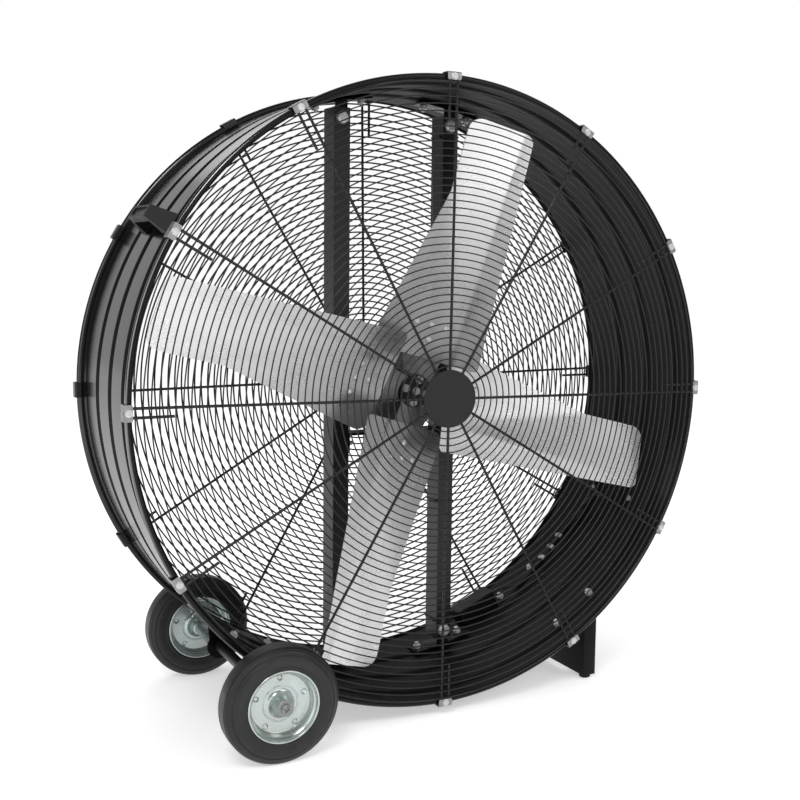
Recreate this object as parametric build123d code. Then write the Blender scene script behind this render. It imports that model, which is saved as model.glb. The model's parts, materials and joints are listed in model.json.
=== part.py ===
from build123d import *
import os
from math import acos, asin, cos, degrees, radians, sin, sqrt, tan

# Drum fan on two wheels and a foot. Lengths are millimetres and angles are degrees.
# +Z is up, the fan axis runs along Y, and the air leaves at the front, towards -Y.
# The origin lies on the floor, under the middle of the drum.
# An angle round the fan axis starts at +X and turns towards +Z.

# ---- drum ----
axis_height = 588.0          # floor to fan axis
drum_depth = 356.0           # between the two rim beads' centres
skin_outer = 559.0           # flat bands of the drum's sheet
skin_thickness = 1.5
bead_radius = 7.0            # rolled rim
front_bead_circle = 561.0
rear_bead_circle = 564.5
flare_length = 62.0          # the rear end of the sheet opens out over this length
groove_count = 3
groove_pitch = 95.0
groove_width = 46.0
groove_depth = 5.0
first_groove = 48.0          # front bead to the first groove's middle

# ---- guards ----
ring_pitch = 12.7
ring_wire = 1.6              # radii of the wires
wire_sides = 8               # both wires' sections have this many sides
spoke_wire = 2.5
cap_radius = 52.0
cap_thickness = 2.5
cap_ring_gap = 6.6           # guard cap's edge to the innermost ring's wire centre
spoke_count = 12
guard_circle = 562.0         # through the clamp screws
spoke_inner = 40.0           # the spokes end under the cap
loop_radius = 7.5            # the hairpin's bend round the clamp screw
stub_length = 78.0
wire_gap = 0.02

# ---- guard clamps ----
clamp_width = 27.0
clamp_sheet = 1.5
clamp_inner = 3.0            # leaf's inner edge, inside the screw by this much and the head's radius
clamp_screw = 2.4
clamp_head = 5.5
clamp_head_height = 3.2
clamp_screw_length = 17.0
clamp_hook = 565.0           # the clamp's back edge, measured from the fan axis
clamp_gap = 3.5              # bead or hairpin to the clamp's outer fold

# ---- posts and their brackets ----
post_spread = 114.0          # fan axis to each post's middle
post_width = 32.0
post_depth = 50.0
post_wall = 3.0
post_front = 214.0           # from the front bead
post_end_gap = 12.0
bracket_length = 124.0
bracket_width = 44.0
bracket_plate = 4.0
bracket_seat_gap = 0.1
bracket_tab_width = 24.0
bracket_bolt_spread = 48.0
bracket_bolt = 4.0
post_bolt_drop = 18.0        # post's end to the big bolt's centre
post_bolt = 6.0
post_bolt_head = 13.0
post_bolt_head_height = 7.0

# ---- motor ----
motor_radius = 85.0
motor_front = 186.0
motor_length = 138.0
motor_wall = 3.0
cover_thickness = 8.0
cover_boss_radius = 34.0
cover_boss_length = 12.0
pad_width = 56.0
pad_length = 90.0
pad_rise = 3.0
rail_thickness = 5.0
rail_length_y = 40.0
rail_ear = 34.0
rail_bolt = 4.0
pad_bolt_spread = 32.0
pad_bolt_length = 11.8       # ends inside the shell's wall, short of the stator
stator_outer_gap = 0.2
stator_bore = 55.0
stator_length = 80.0
coil_overhang = 18.0
coil_thickness = 18.0
air_gap = 0.8
rotor_core_length = 84.0
shaft_radius = 12.0
bearing_radius = 23.0
bearing_width = 14.0
running_clearance = 0.05
fit_clearance = 0.02

# ---- rotor ----
blade_count = 4
blade_phase = 73.0
blade_plane = 133.0          # front bead to the spider plane at the fan axis
root_pitch = 20.0            # pitch of the root panel
root_lean = 7.4              # the root panel leans forward going out
tip_pitch = 12.0
strip_pitch = 19.3
blade_sheet = 2.5
root_radius = 81.0
root_leading = 103.0
root_trailing = 98.0
fold_line = 46.5             # trailing fold, from the blade's middle line
kink_radius = 376.0
kink_width = 53.0
tip_leading_radius = 513.0
tip_leading = 62.0
tip_trailing_radius = 524.0
tip_trailing = 64.0
tip_leading_corner = 26.0
tip_trailing_corner = 14.0
root_leading_corner = 24.0
root_trailing_corner = 10.0
arm_sheet = 4.0
arm_length = 146.0
arm_leading = 48.0
arm_trailing = 21.0
hub_radius = 31.0
hub_front = 124.0
hub_length = 34.0
hub_bolt_circle = 22.0
hub_bolt = 3.0
rivet_radius = 2.5
rivet_head = 5.0
rivet_head_height = 1.8
rivet_places = [(128.0, -19.0), (128.0, 8.0), (128.0, 36.0), (100.0, 5.0)]

# ---- wheels and axle ----
tyre_radius = 100.0
tyre_width = 50.0
wheel_seat = 61.0
axle_standoff = 34.6228      # drum's skin to the axle's centre
axle_radius = 10.0
wheel_outset = 61.0          # rim bead's centre to the wheel's middle
wheel_plate = 2.5
wheel_hub_radius = 15.0
wheel_hub_length = 56.0
axle_bracket_sheet = 4.0
axle_bracket_spread = 9.0    # half the angle between its two bolts
collar_radius = 16.0
collar_length = 10.0
side_gap = 0.5

# ---- foot ----
foot_web_x = 333.0
foot_flange = 29.0
foot_sheet = 3.0
foot_inset = 24.0            # front bead to the foot's front face
foot_bolt_angles = (-49.3, -58.9)
saddle_sheet = 3.0
saddle_reach = 2.2           # degrees from a saddle's end bolts to its ends
front_saddle_width = 52.0    # spans the first groove
rear_saddle_width = 30.0     # lies on the last flat band
rubber_radius = 11.5
rubber_height = 8.0
rubber_inset = 17.0

# ---- handle ----
handle_angle = 148.0
handle_front = 52.0
handle_base_length = 162.0
handle_top_length = 106.0
handle_screw_inset = 26.0
handle_height = 40.0
handle_base_width = 36.0
handle_top_width = 22.0
handle_wall = 9.0
handle_screw = 3.0

# ---- switch box and cable ----
switch_angle = -26.2
switch_screw_front = 112.0
switch_screw_pitch = 126.0
switch_length = 156.0
switch_width = 66.0
switch_height = 40.0
switch_wall = 2.5
switch_lid = 2.5
lid_screw_inset = 6.0
switch_seat = 0.1            # box's floor clear of the drum's flat bands
knob_radius = 17.0
knob_height = 17.0
knob_stem = 4.0
switch_body_size = 34.0
switch_body_height = 22.0
cable_radius = 3.6
tie_sheet = 1.2
tie_width = 4.0
tie_heights = (-486.0, -238.0, 486.0)
lead_radius = 2.0
gland_depth = 120.0          # motor's front face to its cable gland
clip_angles = (-45.8, -42.6, -39.4)
clip_cable_depth = 266.0     # front bead to the cable along the wall
clip_sheet = 1.4
clip_width = 9.0
clip_slack = 0.35            # between the lead and a clip's loop
clip_pad = 12.0              # cable to the clip's screw
clip_screw = 2.2
capacitor_angle = -65.4
capacitor_length = 92.0
capacitor_width = 44.0
capacitor_height = 34.0
capacitor_screw_inset = 12.0
capacitor_middle = 284.0     # from the front bead
bolt_clearance = 0.15
seat_gap = 0.1

half_depth = drum_depth / 2
skin_inner = skin_outer - skin_thickness
clear_inner = skin_inner - groove_depth       # nothing of the sheet lies inside this radius
fan_middle = Location((0, 0, axis_height))


def from_front(distance):
    # a place along Y, given as a distance behind the front bead's centre
    return distance - half_depth


def around(radius, angle, y):
    # a point at a radius and an angle round the fan axis
    return Vector(radius * cos(radians(angle)), y, axis_height + radius * sin(radians(angle)))


def wall_plane(radius, angle, y):
    # local Z points away from the fan axis, local Y along it
    outward = Vector(cos(radians(angle)), 0, sin(radians(angle)))
    along = Vector(sin(radians(angle)), 0, -cos(radians(angle)))
    return Plane(origin=around(radius, angle, y), x_dir=along, z_dir=outward)


def save(name, shape):
    shape.label = name
    export_step(shape, f"parts/{name}.step")


def together(solids):
    return Compound(children=list(solids)) if len(solids) > 1 else solids[0]


def rod(start, end, radius):
    # a round bar between two points
    direction = Vector(*end) - Vector(*start)
    plane = Plane(origin=start, z_dir=direction)
    return extrude(plane * Circle(radius), amount=direction.length)


def y_rod(x, z, low, high, radius):
    return rod((x, low, z), (x, high, z), radius)


def block(x, y, z):
    # a box from its three ranges
    size = [abs(pair[1] - pair[0]) for pair in (x, y, z)]
    middle = [(pair[0] + pair[1]) / 2 for pair in (x, y, z)]
    return Pos(*middle) * Box(*size)


def turned(profile, place):
    # a half section drawn with x as radius and y along the axis, turned round Y
    return place * revolve(profile, axis=Axis.Y)


def wall_bolt(angle, y, inside, outside, radius):
    # a bolt through the drum's wall with its head outside and its nut inside
    outer = wall_plane(outside, angle, y)
    bolt = extrude(outer * Circle(1.9 * radius), amount=0.9 * radius)
    return bolt + extrude(outer * Circle(radius), amount=inside - outside - 3.0 * radius)


def wall_screw(angle, y, inside, outside, radius):
    # a round-head screw put in from inside the drum
    inner = wall_plane(inside, angle, y)
    head = extrude(inner * Circle(1.9 * radius), amount=-1.1 * radius)
    return head + extrude(inner * Circle(radius), amount=outside - inside)


def wall_nut(angle, y, inside, radius):
    inner = wall_plane(inside, angle, y)
    nut = extrude(inner * RegularPolygon(2.0 * radius, 6), amount=-1.6 * radius)
    return nut - extrude(inner * Circle(radius + fit_clearance), amount=-1.6 * radius)


def near_groove(y, reach):
    middles = [from_front(first_groove + index * groove_pitch) for index in range(groove_count)]
    return any(abs(y - middle) < groove_width / 2 + reach for middle in middles)


def inside_seat(y, reach):
    # the largest radius at which something flat can lie against the sheet's inside
    return (clear_inner if near_groove(y, reach) else skin_inner) - seat_gap


# ---- places that several pieces share ----
bracket_y = from_front(first_groove + 2 * groove_pitch)
bracket_outer = clear_inner - bracket_seat_gap
bracket_inner = bracket_outer - bracket_plate
bracket_angle = degrees(acos(post_spread / bracket_outer))
bolt_step = degrees(bracket_bolt_spread / bracket_outer)
post_angles = (bracket_angle, 180 - bracket_angle, bracket_angle - 180, -bracket_angle)
bracket_bolt_places = [(angle + side * bolt_step, bracket_y) for angle in post_angles for side in (-1, 1)]
front_saddle_y = from_front(first_groove)
rear_saddle_y = (bracket_y + groove_width / 2 + half_depth - flare_length) / 2
foot_ys = (front_saddle_y, rear_saddle_y)
foot_bolt_places = [(angle, y) for angle in foot_bolt_angles for y in foot_ys]
axle_z = tyre_radius
axle_reach = skin_outer + axle_standoff
axle_x = -sqrt(axle_reach ** 2 - (axis_height - axle_z) ** 2)
axle_angle = degrees(-acos(axle_x / axle_reach))
axle_bolt_places = [(axle_angle + side * axle_bracket_spread, y) for side in (-1, 1) for y in foot_ys]
handle_middle = from_front(handle_front + handle_base_length / 2)
handle_reach = handle_base_length / 2 - handle_screw_inset
handle_ys = (handle_middle - handle_reach, handle_middle + handle_reach)
handle_screw_places = [(handle_angle, y) for y in handle_ys]
switch_ys = (from_front(switch_screw_front), from_front(switch_screw_front + switch_screw_pitch))
switch_screw_places = [(switch_angle, y) for y in switch_ys]
switch_middle = from_front(switch_screw_front + switch_screw_pitch / 2)
capacitor_y = from_front(capacitor_middle)
capacitor_step = degrees((capacitor_length / 2 - capacitor_screw_inset) / clear_inner)
capacitor_places = [(capacitor_angle + side * capacitor_step, capacitor_y) for side in (-1, 1)]
clip_screw_places = [(angle, from_front(clip_cable_depth + clip_pad)) for angle in clip_angles]
grommet_place = (switch_angle - 1.6, switch_middle)
grommet_hole = cable_radius + 2.0
clamp_angles = [step * 360 / spoke_count for step in range(spoke_count)]
spoke_y = -half_depth - bead_radius - spoke_wire - wire_gap      # of the front guard; the fan's middle is 0
ring_y = spoke_y - spoke_wire - ring_wire
clamp_face = spoke_y - spoke_wire - wire_gap                     # front of the hairpins, where clamps lie


def facing(side):
    # both ends of the fan carry the same guard: the rear one is turned half round
    return fan_middle if side < 0 else fan_middle * Rot(0, 0, 180)


def drum_skin():
    # the sheet's outer line, from the front bead to the rear one, and the same line moved inwards
    def line(shift):
        start, end = -half_depth, half_depth
        radius = skin_outer - shift
        edges = []
        at = (radius, start)
        for index in range(groove_count):
            middle = start + first_groove + index * groove_pitch
            edge = (radius, middle - groove_width / 2)
            far = (radius, middle + groove_width / 2)
            edges.append(Line(at, edge))
            edges.append(ThreePointArc(edge, (radius - groove_depth, middle), far))
            at = far
        flare = (radius, end - flare_length)
        rear = (radius + rear_bead_circle - front_bead_circle + 2.0, end)
        edges.append(Line(at, flare))
        edges.append(Line(flare, rear))
        return edges, (radius, start), rear
    outer, outer_start, outer_end = line(0)
    inner, inner_start, inner_end = line(skin_thickness)
    ends = [Line(outer_start, inner_start), Line(outer_end, inner_end)]
    return make_face(Curve() + outer + inner + ends)


def make_drum():
    profile = drum_skin()
    profile += Pos(front_bead_circle, -half_depth) * Circle(bead_radius)
    profile += Pos(rear_bead_circle, half_depth) * Circle(bead_radius)
    drum = turned(profile, fan_middle)
    holes = []
    bolt_holes = [(bracket_bolt_places, bracket_bolt), (foot_bolt_places, bracket_bolt),
                  (axle_bolt_places, bracket_bolt), (handle_screw_places, handle_screw),
                  (switch_screw_places, handle_screw), (capacitor_places, handle_screw),
                  (clip_screw_places, clip_screw),
                  ([grommet_place], grommet_hole)]
    for places, radius in bolt_holes:
        for angle, y in places:
            plane = wall_plane(clear_inner - 10, angle, y)
            holes.append(extrude(plane * Circle(radius + bolt_clearance), amount=30))
    for angle in clamp_angles:
        for side in (-1, 1):
            at = around(guard_circle, angle, side * half_depth)
            outer, inner = at.Y + side * bead_radius * 1.5, at.Y - side * (bead_radius - 1.0)
            holes.append(y_rod(at.X, at.Z, outer, inner, clamp_screw + bolt_clearance))
    return drum - holes


def wire_section(radius):
    return Rot(0, 0, 180 / wire_sides) * RegularPolygon(radius, wire_sides, major_radius=False)


def make_guard():
    # rings welded to the outer side of hairpin spokes that bend round the clamp screws
    outer_ring = guard_circle - clamp_head - ring_wire - side_gap
    inner_ring = cap_radius + cap_ring_gap
    count = int((outer_ring - inner_ring) / ring_pitch) + 1
    rings = []
    for index in range(count):
        section = Pos(outer_ring - ring_pitch * index, 0) * wire_section(ring_wire)
        rings.append(turned(section, Pos(0, ring_y, 0)))
    long_leg = Line((spoke_inner, -loop_radius), (guard_circle, -loop_radius))
    bend = ThreePointArc((guard_circle, -loop_radius), (guard_circle + loop_radius, 0),
                         (guard_circle, loop_radius))
    stub = Line((guard_circle, loop_radius), (guard_circle - stub_length, loop_radius))
    start = Plane(origin=(spoke_inner, -loop_radius, 0), z_dir=(1, 0, 0))
    hairpin = Pos(0, spoke_y, 0) * Rot(90, 0, 0) * sweep(start * wire_section(spoke_wire),
                                                        path=Curve() + [long_leg, bend, stub])
    spokes = [Rot(0, -angle, 0) * hairpin for angle in clamp_angles]
    return rings[0].fuse(*rings[1:], *spokes, glue=True)


def make_cap(side):
    # a shallow cover over the spokes' inner ends, with its edge turned back
    disc = Pos(cap_radius / 2, clamp_face - cap_thickness / 2) * Rectangle(cap_radius, cap_thickness)
    cap = turned(disc, facing(side))
    rim = cap.edges().filter_by(GeomType.CIRCLE).sort_by(Axis.Y)[0 if side < 0 else -1]
    return fillet(rim, cap_thickness * 0.6)


def clamp_section():
    # the leaf lies on the hairpin, wraps over the bead and hooks in behind it
    inner = guard_circle - clamp_inner
    outer = guard_circle + loop_radius + spoke_wire + clamp_gap
    leaf = clamp_face - clamp_sheet
    hook = bead_radius + side_gap - half_depth
    corners = [(inner, leaf), (outer, leaf), (outer, hook + clamp_sheet), (clamp_hook, hook + clamp_sheet),
               (clamp_hook, hook), (outer - clamp_sheet, hook), (outer - clamp_sheet, clamp_face),
               (inner, clamp_face)]
    return make_face(Polyline(*corners, close=True))


def make_clamps(side):
    clamp = Pos(0, 0, -clamp_width / 2) * extrude(clamp_section(), amount=clamp_width)
    clamp -= y_rod(guard_circle, 0, clamp_face - 9.0, clamp_face + 9.0, clamp_screw + bolt_clearance)
    head_low = clamp_face - clamp_sheet
    head = y_rod(guard_circle, 0, head_low - clamp_head_height, head_low, clamp_head)
    head = fillet(head.edges().sort_by(Axis.Y)[0], clamp_head_height * 0.5)
    screw = head + y_rod(guard_circle, 0, head_low, head_low + clamp_screw_length, clamp_screw)
    places = [facing(side) * Rot(0, -angle, 0) for angle in clamp_angles]
    return [place * clamp for place in places], [place * screw for place in places]


post_low = from_front(post_front)
post_high = post_low + post_depth
post_half_height = sqrt(clear_inner ** 2 - (post_spread + post_width / 2) ** 2) - post_end_gap
post_bolt_z = post_half_height - post_bolt_drop
tab_low = post_low + post_wall + seat_gap
rail_y = (post_low + post_high) / 2
rail_z = motor_radius + pad_rise + seat_gap
ear_bolt_z = rail_z + rail_thickness + rail_ear / 2


def make_post(side):
    # a channel with its web to the front
    x = side * post_spread
    half = post_width / 2
    span = (axis_height - post_half_height, axis_height + post_half_height)
    post = block((x - half, x + half), (post_low, post_high), span)
    post -= block((x - half + post_wall, x + half - post_wall), (post_low + post_wall, post_high + 1),
                  (span[0] - 1, span[1] + 1))
    for end in (-1, 1):
        z = axis_height + end * post_bolt_z
        post -= y_rod(x, z, post_low - 1, post_low + post_wall + 1, post_bolt + bolt_clearance)
        z = axis_height + end * ear_bolt_z
        inner = side * (post_spread - half)
        post -= rod((inner - side, rail_y, z), (inner + side * (post_wall + 1), rail_y, z),
                    rail_bolt + bolt_clearance)
    return post


def make_post_bracket(side, end):
    # a curved foot on the drum's wall and a tab inside the channel
    x = side * post_spread
    half = bracket_length / 2
    low, high = bracket_y - bracket_width / 2, bracket_y + bracket_width / 2
    ring = y_rod(0, axis_height, low, high, bracket_outer) - y_rod(0, axis_height, low, high, bracket_inner)
    reach = sorted((axis_height + end * 400, axis_height + end * 600))
    bracket = ring & block((x - half, x + half), (low, high), reach)
    tab_end = sqrt(bracket_inner ** 2 - x ** 2) + bracket_plate / 2
    tab_start = post_bolt_z - post_bolt_head - 4.0
    tab_z = sorted((axis_height + end * tab_start, axis_height + end * tab_end))
    wide = bracket_tab_width / 2
    bracket += block((x - wide, x + wide), (tab_low, tab_low + bracket_plate), tab_z)
    bracket -= y_rod(x, axis_height + end * post_bolt_z, tab_low - 1, tab_low + bracket_plate + 1,
                     post_bolt + bolt_clearance)
    for angle, y in bracket_bolt_places:
        plane = wall_plane(bracket_inner - 2 * bracket_plate, angle, y)
        bracket -= extrude(plane * Circle(bracket_bolt + bolt_clearance), amount=5 * bracket_plate)
    return bracket


def make_post_bolts():
    # big round heads on the posts' front faces, with nuts behind the tabs
    bolts, nuts = [], []
    nut_low = tab_low + bracket_plate
    for side in (-1, 1):
        for end in (-1, 1):
            x, z = side * post_spread, axis_height + end * post_bolt_z
            head = y_rod(x, z, post_low - post_bolt_head_height, post_low, post_bolt_head)
            head = fillet(head.edges().sort_by(Axis.Y)[0], post_bolt_head_height * 0.8)
            bolts.append(head + y_rod(x, z, post_low, nut_low + 13.0, post_bolt))
            plane = Plane(origin=(x, nut_low, z), z_dir=(0, 1, 0))
            nut = extrude(plane * RegularPolygon(11.0, 6), amount=10.0)
            nuts.append(nut - extrude(plane * Circle(post_bolt + fit_clearance), amount=10.0))
    return bolts, nuts


groove_floor = skin_outer - groove_depth + 0.6


def make_bracket_fixings():
    bolts = [wall_bolt(angle, y, bracket_inner, groove_floor, bracket_bolt) for angle, y in bracket_bolt_places]
    nuts = [wall_nut(angle, y, bracket_inner - seat_gap, bracket_bolt) for angle, y in bracket_bolt_places]
    return bolts, nuts


def make_saddle_fixings(places):
    # bolts of the foot and of the axle brackets, put in from outside
    outside = saddle_outer + seat_gap
    bolts, nuts = [], []
    for angle, y in places:
        inside = inside_seat(y, 2 * bracket_bolt)
        bolts.append(wall_bolt(angle, y, inside, outside, bracket_bolt))
        nuts.append(wall_nut(angle, y, inside, bracket_bolt))
    return bolts, nuts


motor_low = from_front(motor_front)
motor_high = motor_low + motor_length
motor_middle = (motor_low + motor_high) / 2

lead_y = motor_low + gland_depth
earth_rise = 20.0            # earth lead's hole above the other one


def make_motor_shell():
    wall_middle = Pos(motor_radius - motor_wall / 2, motor_middle)
    shell = turned(wall_middle * Rectangle(motor_wall, motor_length), fan_middle)
    inner = y_rod(0, axis_height, motor_low, motor_high, motor_radius - motor_wall)
    for end in (-1, 1):
        pad_inner, pad_outer = motor_radius - motor_wall - 8.0, motor_radius + pad_rise
        z = sorted((axis_height + end * pad_inner, axis_height + end * pad_outer))
        pad = block((-pad_width / 2, pad_width / 2), (rail_y - pad_length / 2, rail_y + pad_length / 2), z)
        pad -= inner
        for x in (-pad_bolt_spread / 2, pad_bolt_spread / 2):
            pad -= rod((x, rail_y, z[0] - 5), (x, rail_y, z[1] + 5), rail_bolt + fit_clearance)
            shell -= rod((x, rail_y, z[0] - 5), (x, rail_y, z[1] + 5), rail_bolt + fit_clearance)
        shell += pad
    for z, radius in ((0, cable_radius), (earth_rise, lead_radius)):
        z += axis_height
        shell -= rod((motor_radius - 12, lead_y, z), (motor_radius + 12, lead_y, z), radius + 2.0)
    return shell


def make_motor_cover(side):
    # side -1 carries the front bearing, side 1 the rear one
    face = motor_low if side < 0 else motor_high
    outer = face + side * cover_thickness
    boss = outer + side * cover_boss_length
    def bar(r0, r1, y0, y1):
        return Pos((r0 + r1) / 2, (y0 + y1) / 2) * Rectangle(r1 - r0, abs(y1 - y0))
    section = bar(0, motor_radius, face, outer) + bar(0, cover_boss_radius, outer, boss)
    seat = boss - side * (bearing_width + 4.0)
    section -= bar(0, bearing_radius + fit_clearance, face - side * 40, seat + side * bearing_width)
    section -= bar(0, shaft_radius + 1.5, face - side * 40, boss + side * 2)
    section += bar(bearing_radius + fit_clearance, bearing_radius + 5, face - side * 6.0, face)
    cover = turned(section, fan_middle)
    rim = cover.edges().filter_by(GeomType.CIRCLE).filter_by(lambda e: abs(e.radius - motor_radius) < 0.01)
    rim = rim.sort_by(Axis.Y)[0 if side < 0 else -1]
    return fillet(rim, 5.0)


def bearing_seat(side):
    face = motor_low if side < 0 else motor_high
    return face + side * (cover_thickness + cover_boss_length - bearing_width - 4.0)


def make_bearings():
    solids = []
    for side in (-1, 1):
        low = bearing_seat(side)
        high = low + side * bearing_width
        ring = y_rod(0, axis_height, low, high, bearing_radius)
        solids.append(ring - y_rod(0, axis_height, low, high, shaft_radius + running_clearance))
    return solids


def tube(low, high, outer, inner):
    return y_rod(0, axis_height, low, high, outer) - y_rod(0, axis_height, low, high, inner)


stator_low = motor_middle - stator_length / 2
stator_high = motor_middle + stator_length / 2


def make_stator():
    outer = motor_radius - motor_wall - stator_outer_gap
    return tube(stator_low, stator_high, outer, stator_bore)


def make_windings():
    # the coil heads at both ends of the stator
    coils = []
    for low, high in ((stator_low - coil_overhang, stator_low), (stator_high, stator_high + coil_overhang)):
        coil = tube(low, high, stator_bore + 3 + coil_thickness, stator_bore + 3)
        coils.append(fillet(coil.edges().filter_by(GeomType.CIRCLE), 4.0))
    return coils


shaft_end = motor_high + cover_thickness + cover_boss_length - 2.0
hub_low = from_front(hub_front)
hub_high = hub_low + hub_length


def make_shaft():
    shaft = y_rod(0, axis_height, hub_low + 2.0, shaft_end, shaft_radius)
    collar = tube(hub_high, hub_high + 3.0, shaft_radius + 3.0, shaft_radius - 1)
    tapped = y_rod(0, axis_height, hub_low, hub_low + 22.0, hub_bolt + fit_clearance)
    return shaft + collar - tapped


def make_rotor_core():
    half = rotor_core_length / 2
    return tube(motor_middle - half, motor_middle + half, stator_bore - air_gap, shaft_radius + fit_clearance)


def blade_frame(index):
    # local x runs out along the blade, local y towards its leading edge, local z towards the front
    angle = blade_phase + index * 360 / blade_count
    out = Vector(cos(radians(angle)), 0, sin(radians(angle)))
    return Location(Plane(origin=(0, 0, axis_height), x_dir=out, z_dir=(0, -1, 0)))


def root_height(u, v):
    # how far the root panel lies in front of the drum's middle at a place on the blade
    depth = blade_plane + tan(radians(root_pitch)) * v - tan(radians(root_lean)) * u
    return -from_front(depth)


fold_inner = (root_radius, -fold_line)
kink = (kink_radius, kink_width)
kink_height = root_height(*kink)
fold_height = root_height(*fold_inner)
tip_slope = -tan(radians(tip_pitch))
tip_lean = (fold_height - kink_height - tip_slope * (fold_inner[1] - kink[1])) / (fold_inner[0] - kink[0])


def tip_height(u, v):
    # the main panel shares its crease with the root panel
    return kink_height + tip_slope * (v - kink[1]) + tip_lean * (u - kink[0])


def strip_height(u, v):
    # the trailing strip hangs on the main panel's straight fold
    return tip_height(u, -fold_line) - tan(radians(strip_pitch)) * (v + fold_line)


def panel(points, height, thickness, lift):
    # a flat panel over a polygon, its thickness measured along the fan axis, behind its front face
    face = make_face(Polyline(*[(u, v, height(u, v) - lift) for u, v in points], close=True))
    return extrude(face, amount=thickness, dir=(0, 0, -1))


def root_normal():
    # the root panel's front normal, in the blade's frame
    return Vector(-tan(radians(root_lean)), tan(radians(root_pitch)), 1).normalized()


def rivet_plane(u, v):
    return Plane(origin=(u, v, root_height(u, v)), z_dir=root_normal())


def make_blade_shape():
    fold_outer = (tip_trailing_radius, -fold_line)
    leading_tip = (tip_leading_radius, tip_leading)
    trailing_tip = (tip_trailing_radius, -tip_trailing)
    root_lead = (root_radius, root_leading)
    root_trail = (root_radius, -root_trailing)
    blade = panel([fold_inner, kink, root_lead], root_height, blade_sheet, 0)
    blade += panel([fold_inner, fold_outer, leading_tip, kink], tip_height, blade_sheet, 0)
    blade += panel([fold_inner, root_trail, trailing_tip, fold_outer], strip_height, blade_sheet, 0)
    outline = make_face(Polyline(root_lead, root_trail, trailing_tip, leading_tip, kink, close=True))
    corners = outline.vertices()
    def corner(point):
        return corners.sort_by_distance(point + (0,))[0]
    for point, radius in ((leading_tip, tip_leading_corner), (trailing_tip, tip_trailing_corner),
                          (root_lead, root_leading_corner), (root_trail, root_trailing_corner)):
        corners = outline.vertices()
        outline = fillet(corner(point), radius)
    prism = Pos(0, 0, -200) * extrude(Plane.XY * outline, amount=500, dir=(0, 0, 1))
    blade = blade & prism
    for u, v in rivet_places:
        blade -= extrude(rivet_plane(u, v) * Circle(rivet_radius + fit_clearance), amount=10, both=True)
    return blade


def make_hub():
    # a boss on the shaft with four pitched arms behind the blades
    boss = y_rod(0, 0, hub_low, hub_high, hub_radius)
    boss = fillet(boss.edges().sort_by(Axis.Y)[0], 2.0)
    for index in range(blade_count):
        neck = 18.0
        points = [(4.0, -neck), (root_radius, -arm_trailing - 12.0), (arm_length, -arm_trailing),
                  (arm_length, arm_leading), (root_radius, arm_leading), (4.0, neck)]
        arm = panel(points, root_height, arm_sheet, blade_sheet)
        for u, v in rivet_places:
            arm -= extrude(rivet_plane(u, v) * Circle(rivet_radius + fit_clearance), amount=20, both=True)
        boss += Pos(0, 0, -axis_height) * blade_frame(index) * arm
    boss -= y_rod(0, 0, hub_low + 2.0, hub_high + 1, shaft_radius + fit_clearance)
    boss -= y_rod(0, 0, hub_low - 1, hub_low + 3, hub_bolt + bolt_clearance)
    for index in range(blade_count):
        angle = radians(blade_phase + index * 360 / blade_count)
        x, z = hub_bolt_circle * cos(angle), hub_bolt_circle * sin(angle)
        boss -= y_rod(x, z, hub_low - 1, hub_low + 26.0, hub_bolt + fit_clearance)
    return fan_middle * boss


def make_hub_bolts():
    places = [(0.0, 0.0, 16.0)]
    for index in range(blade_count):
        angle = radians(blade_phase + index * 360 / blade_count)
        places.append((hub_bolt_circle * cos(angle), hub_bolt_circle * sin(angle), 24.0))
    bolts = []
    for x, z, length in places:
        plane = Plane(origin=(x, hub_low, z + axis_height), z_dir=(0, -1, 0))
        bolt = extrude(plane * RegularPolygon(6.4, 6), amount=5.0)
        bolt += extrude(plane * Circle(hub_bolt), amount=-length)
        bolts.append(bolt)
    return bolts


def make_rivets():
    rivets = []
    normal = root_normal()
    grip = (blade_sheet + arm_sheet) * normal.Z
    for index in range(blade_count):
        for u, v in rivet_places:
            front = rivet_plane(u, v)
            back = Plane(origin=front.origin - normal * grip, z_dir=-normal)
            head = extrude(front * Circle(rivet_head), amount=rivet_head_height)
            tail = extrude(back * Circle(rivet_head * 0.8), amount=rivet_head_height)
            shank = extrude(front * Circle(rivet_radius), amount=-grip)
            rivets.append(blade_frame(index) * (head + shank + tail))
    return rivets


saddle_inner = skin_outer + seat_gap
saddle_outer = saddle_inner + saddle_sheet


def sector(inner, outer, y_range, start, end):
    # a piece of a ring round the fan axis between two angles
    ring = y_rod(0, axis_height, *y_range, outer) - y_rod(0, axis_height, *y_range, inner)
    far = 2 * outer
    points = [around(0, 0, 0), around(far, start, 0), around(far, (start + end) / 2, 0), around(far, end, 0)]
    wedge = make_face(Polyline(*[(point.X, y_range[0], point.Z) for point in points], close=True))
    return ring & extrude(wedge, amount=y_range[1] - y_range[0], dir=(0, 1, 0))


def saddle_span(y):
    width = front_saddle_width if y < 0 else rear_saddle_width
    return y - width / 2, y + width / 2


def make_saddle(places, y):
    angles = [angle for angle, place_y in places if place_y == y]
    start, end = min(angles) - saddle_reach, max(angles) + saddle_reach
    saddle = sector(saddle_inner, saddle_outer, saddle_span(y), start, end)
    for angle in angles:
        plane = wall_plane(saddle_inner - saddle_sheet, angle, y)
        saddle -= extrude(plane * Circle(bracket_bolt + bolt_clearance), amount=4 * saddle_sheet)
    return saddle


foot_low = rubber_height + foot_sheet
foot_front = from_front(foot_inset)
foot_back = saddle_span(rear_saddle_y)[1]


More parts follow.
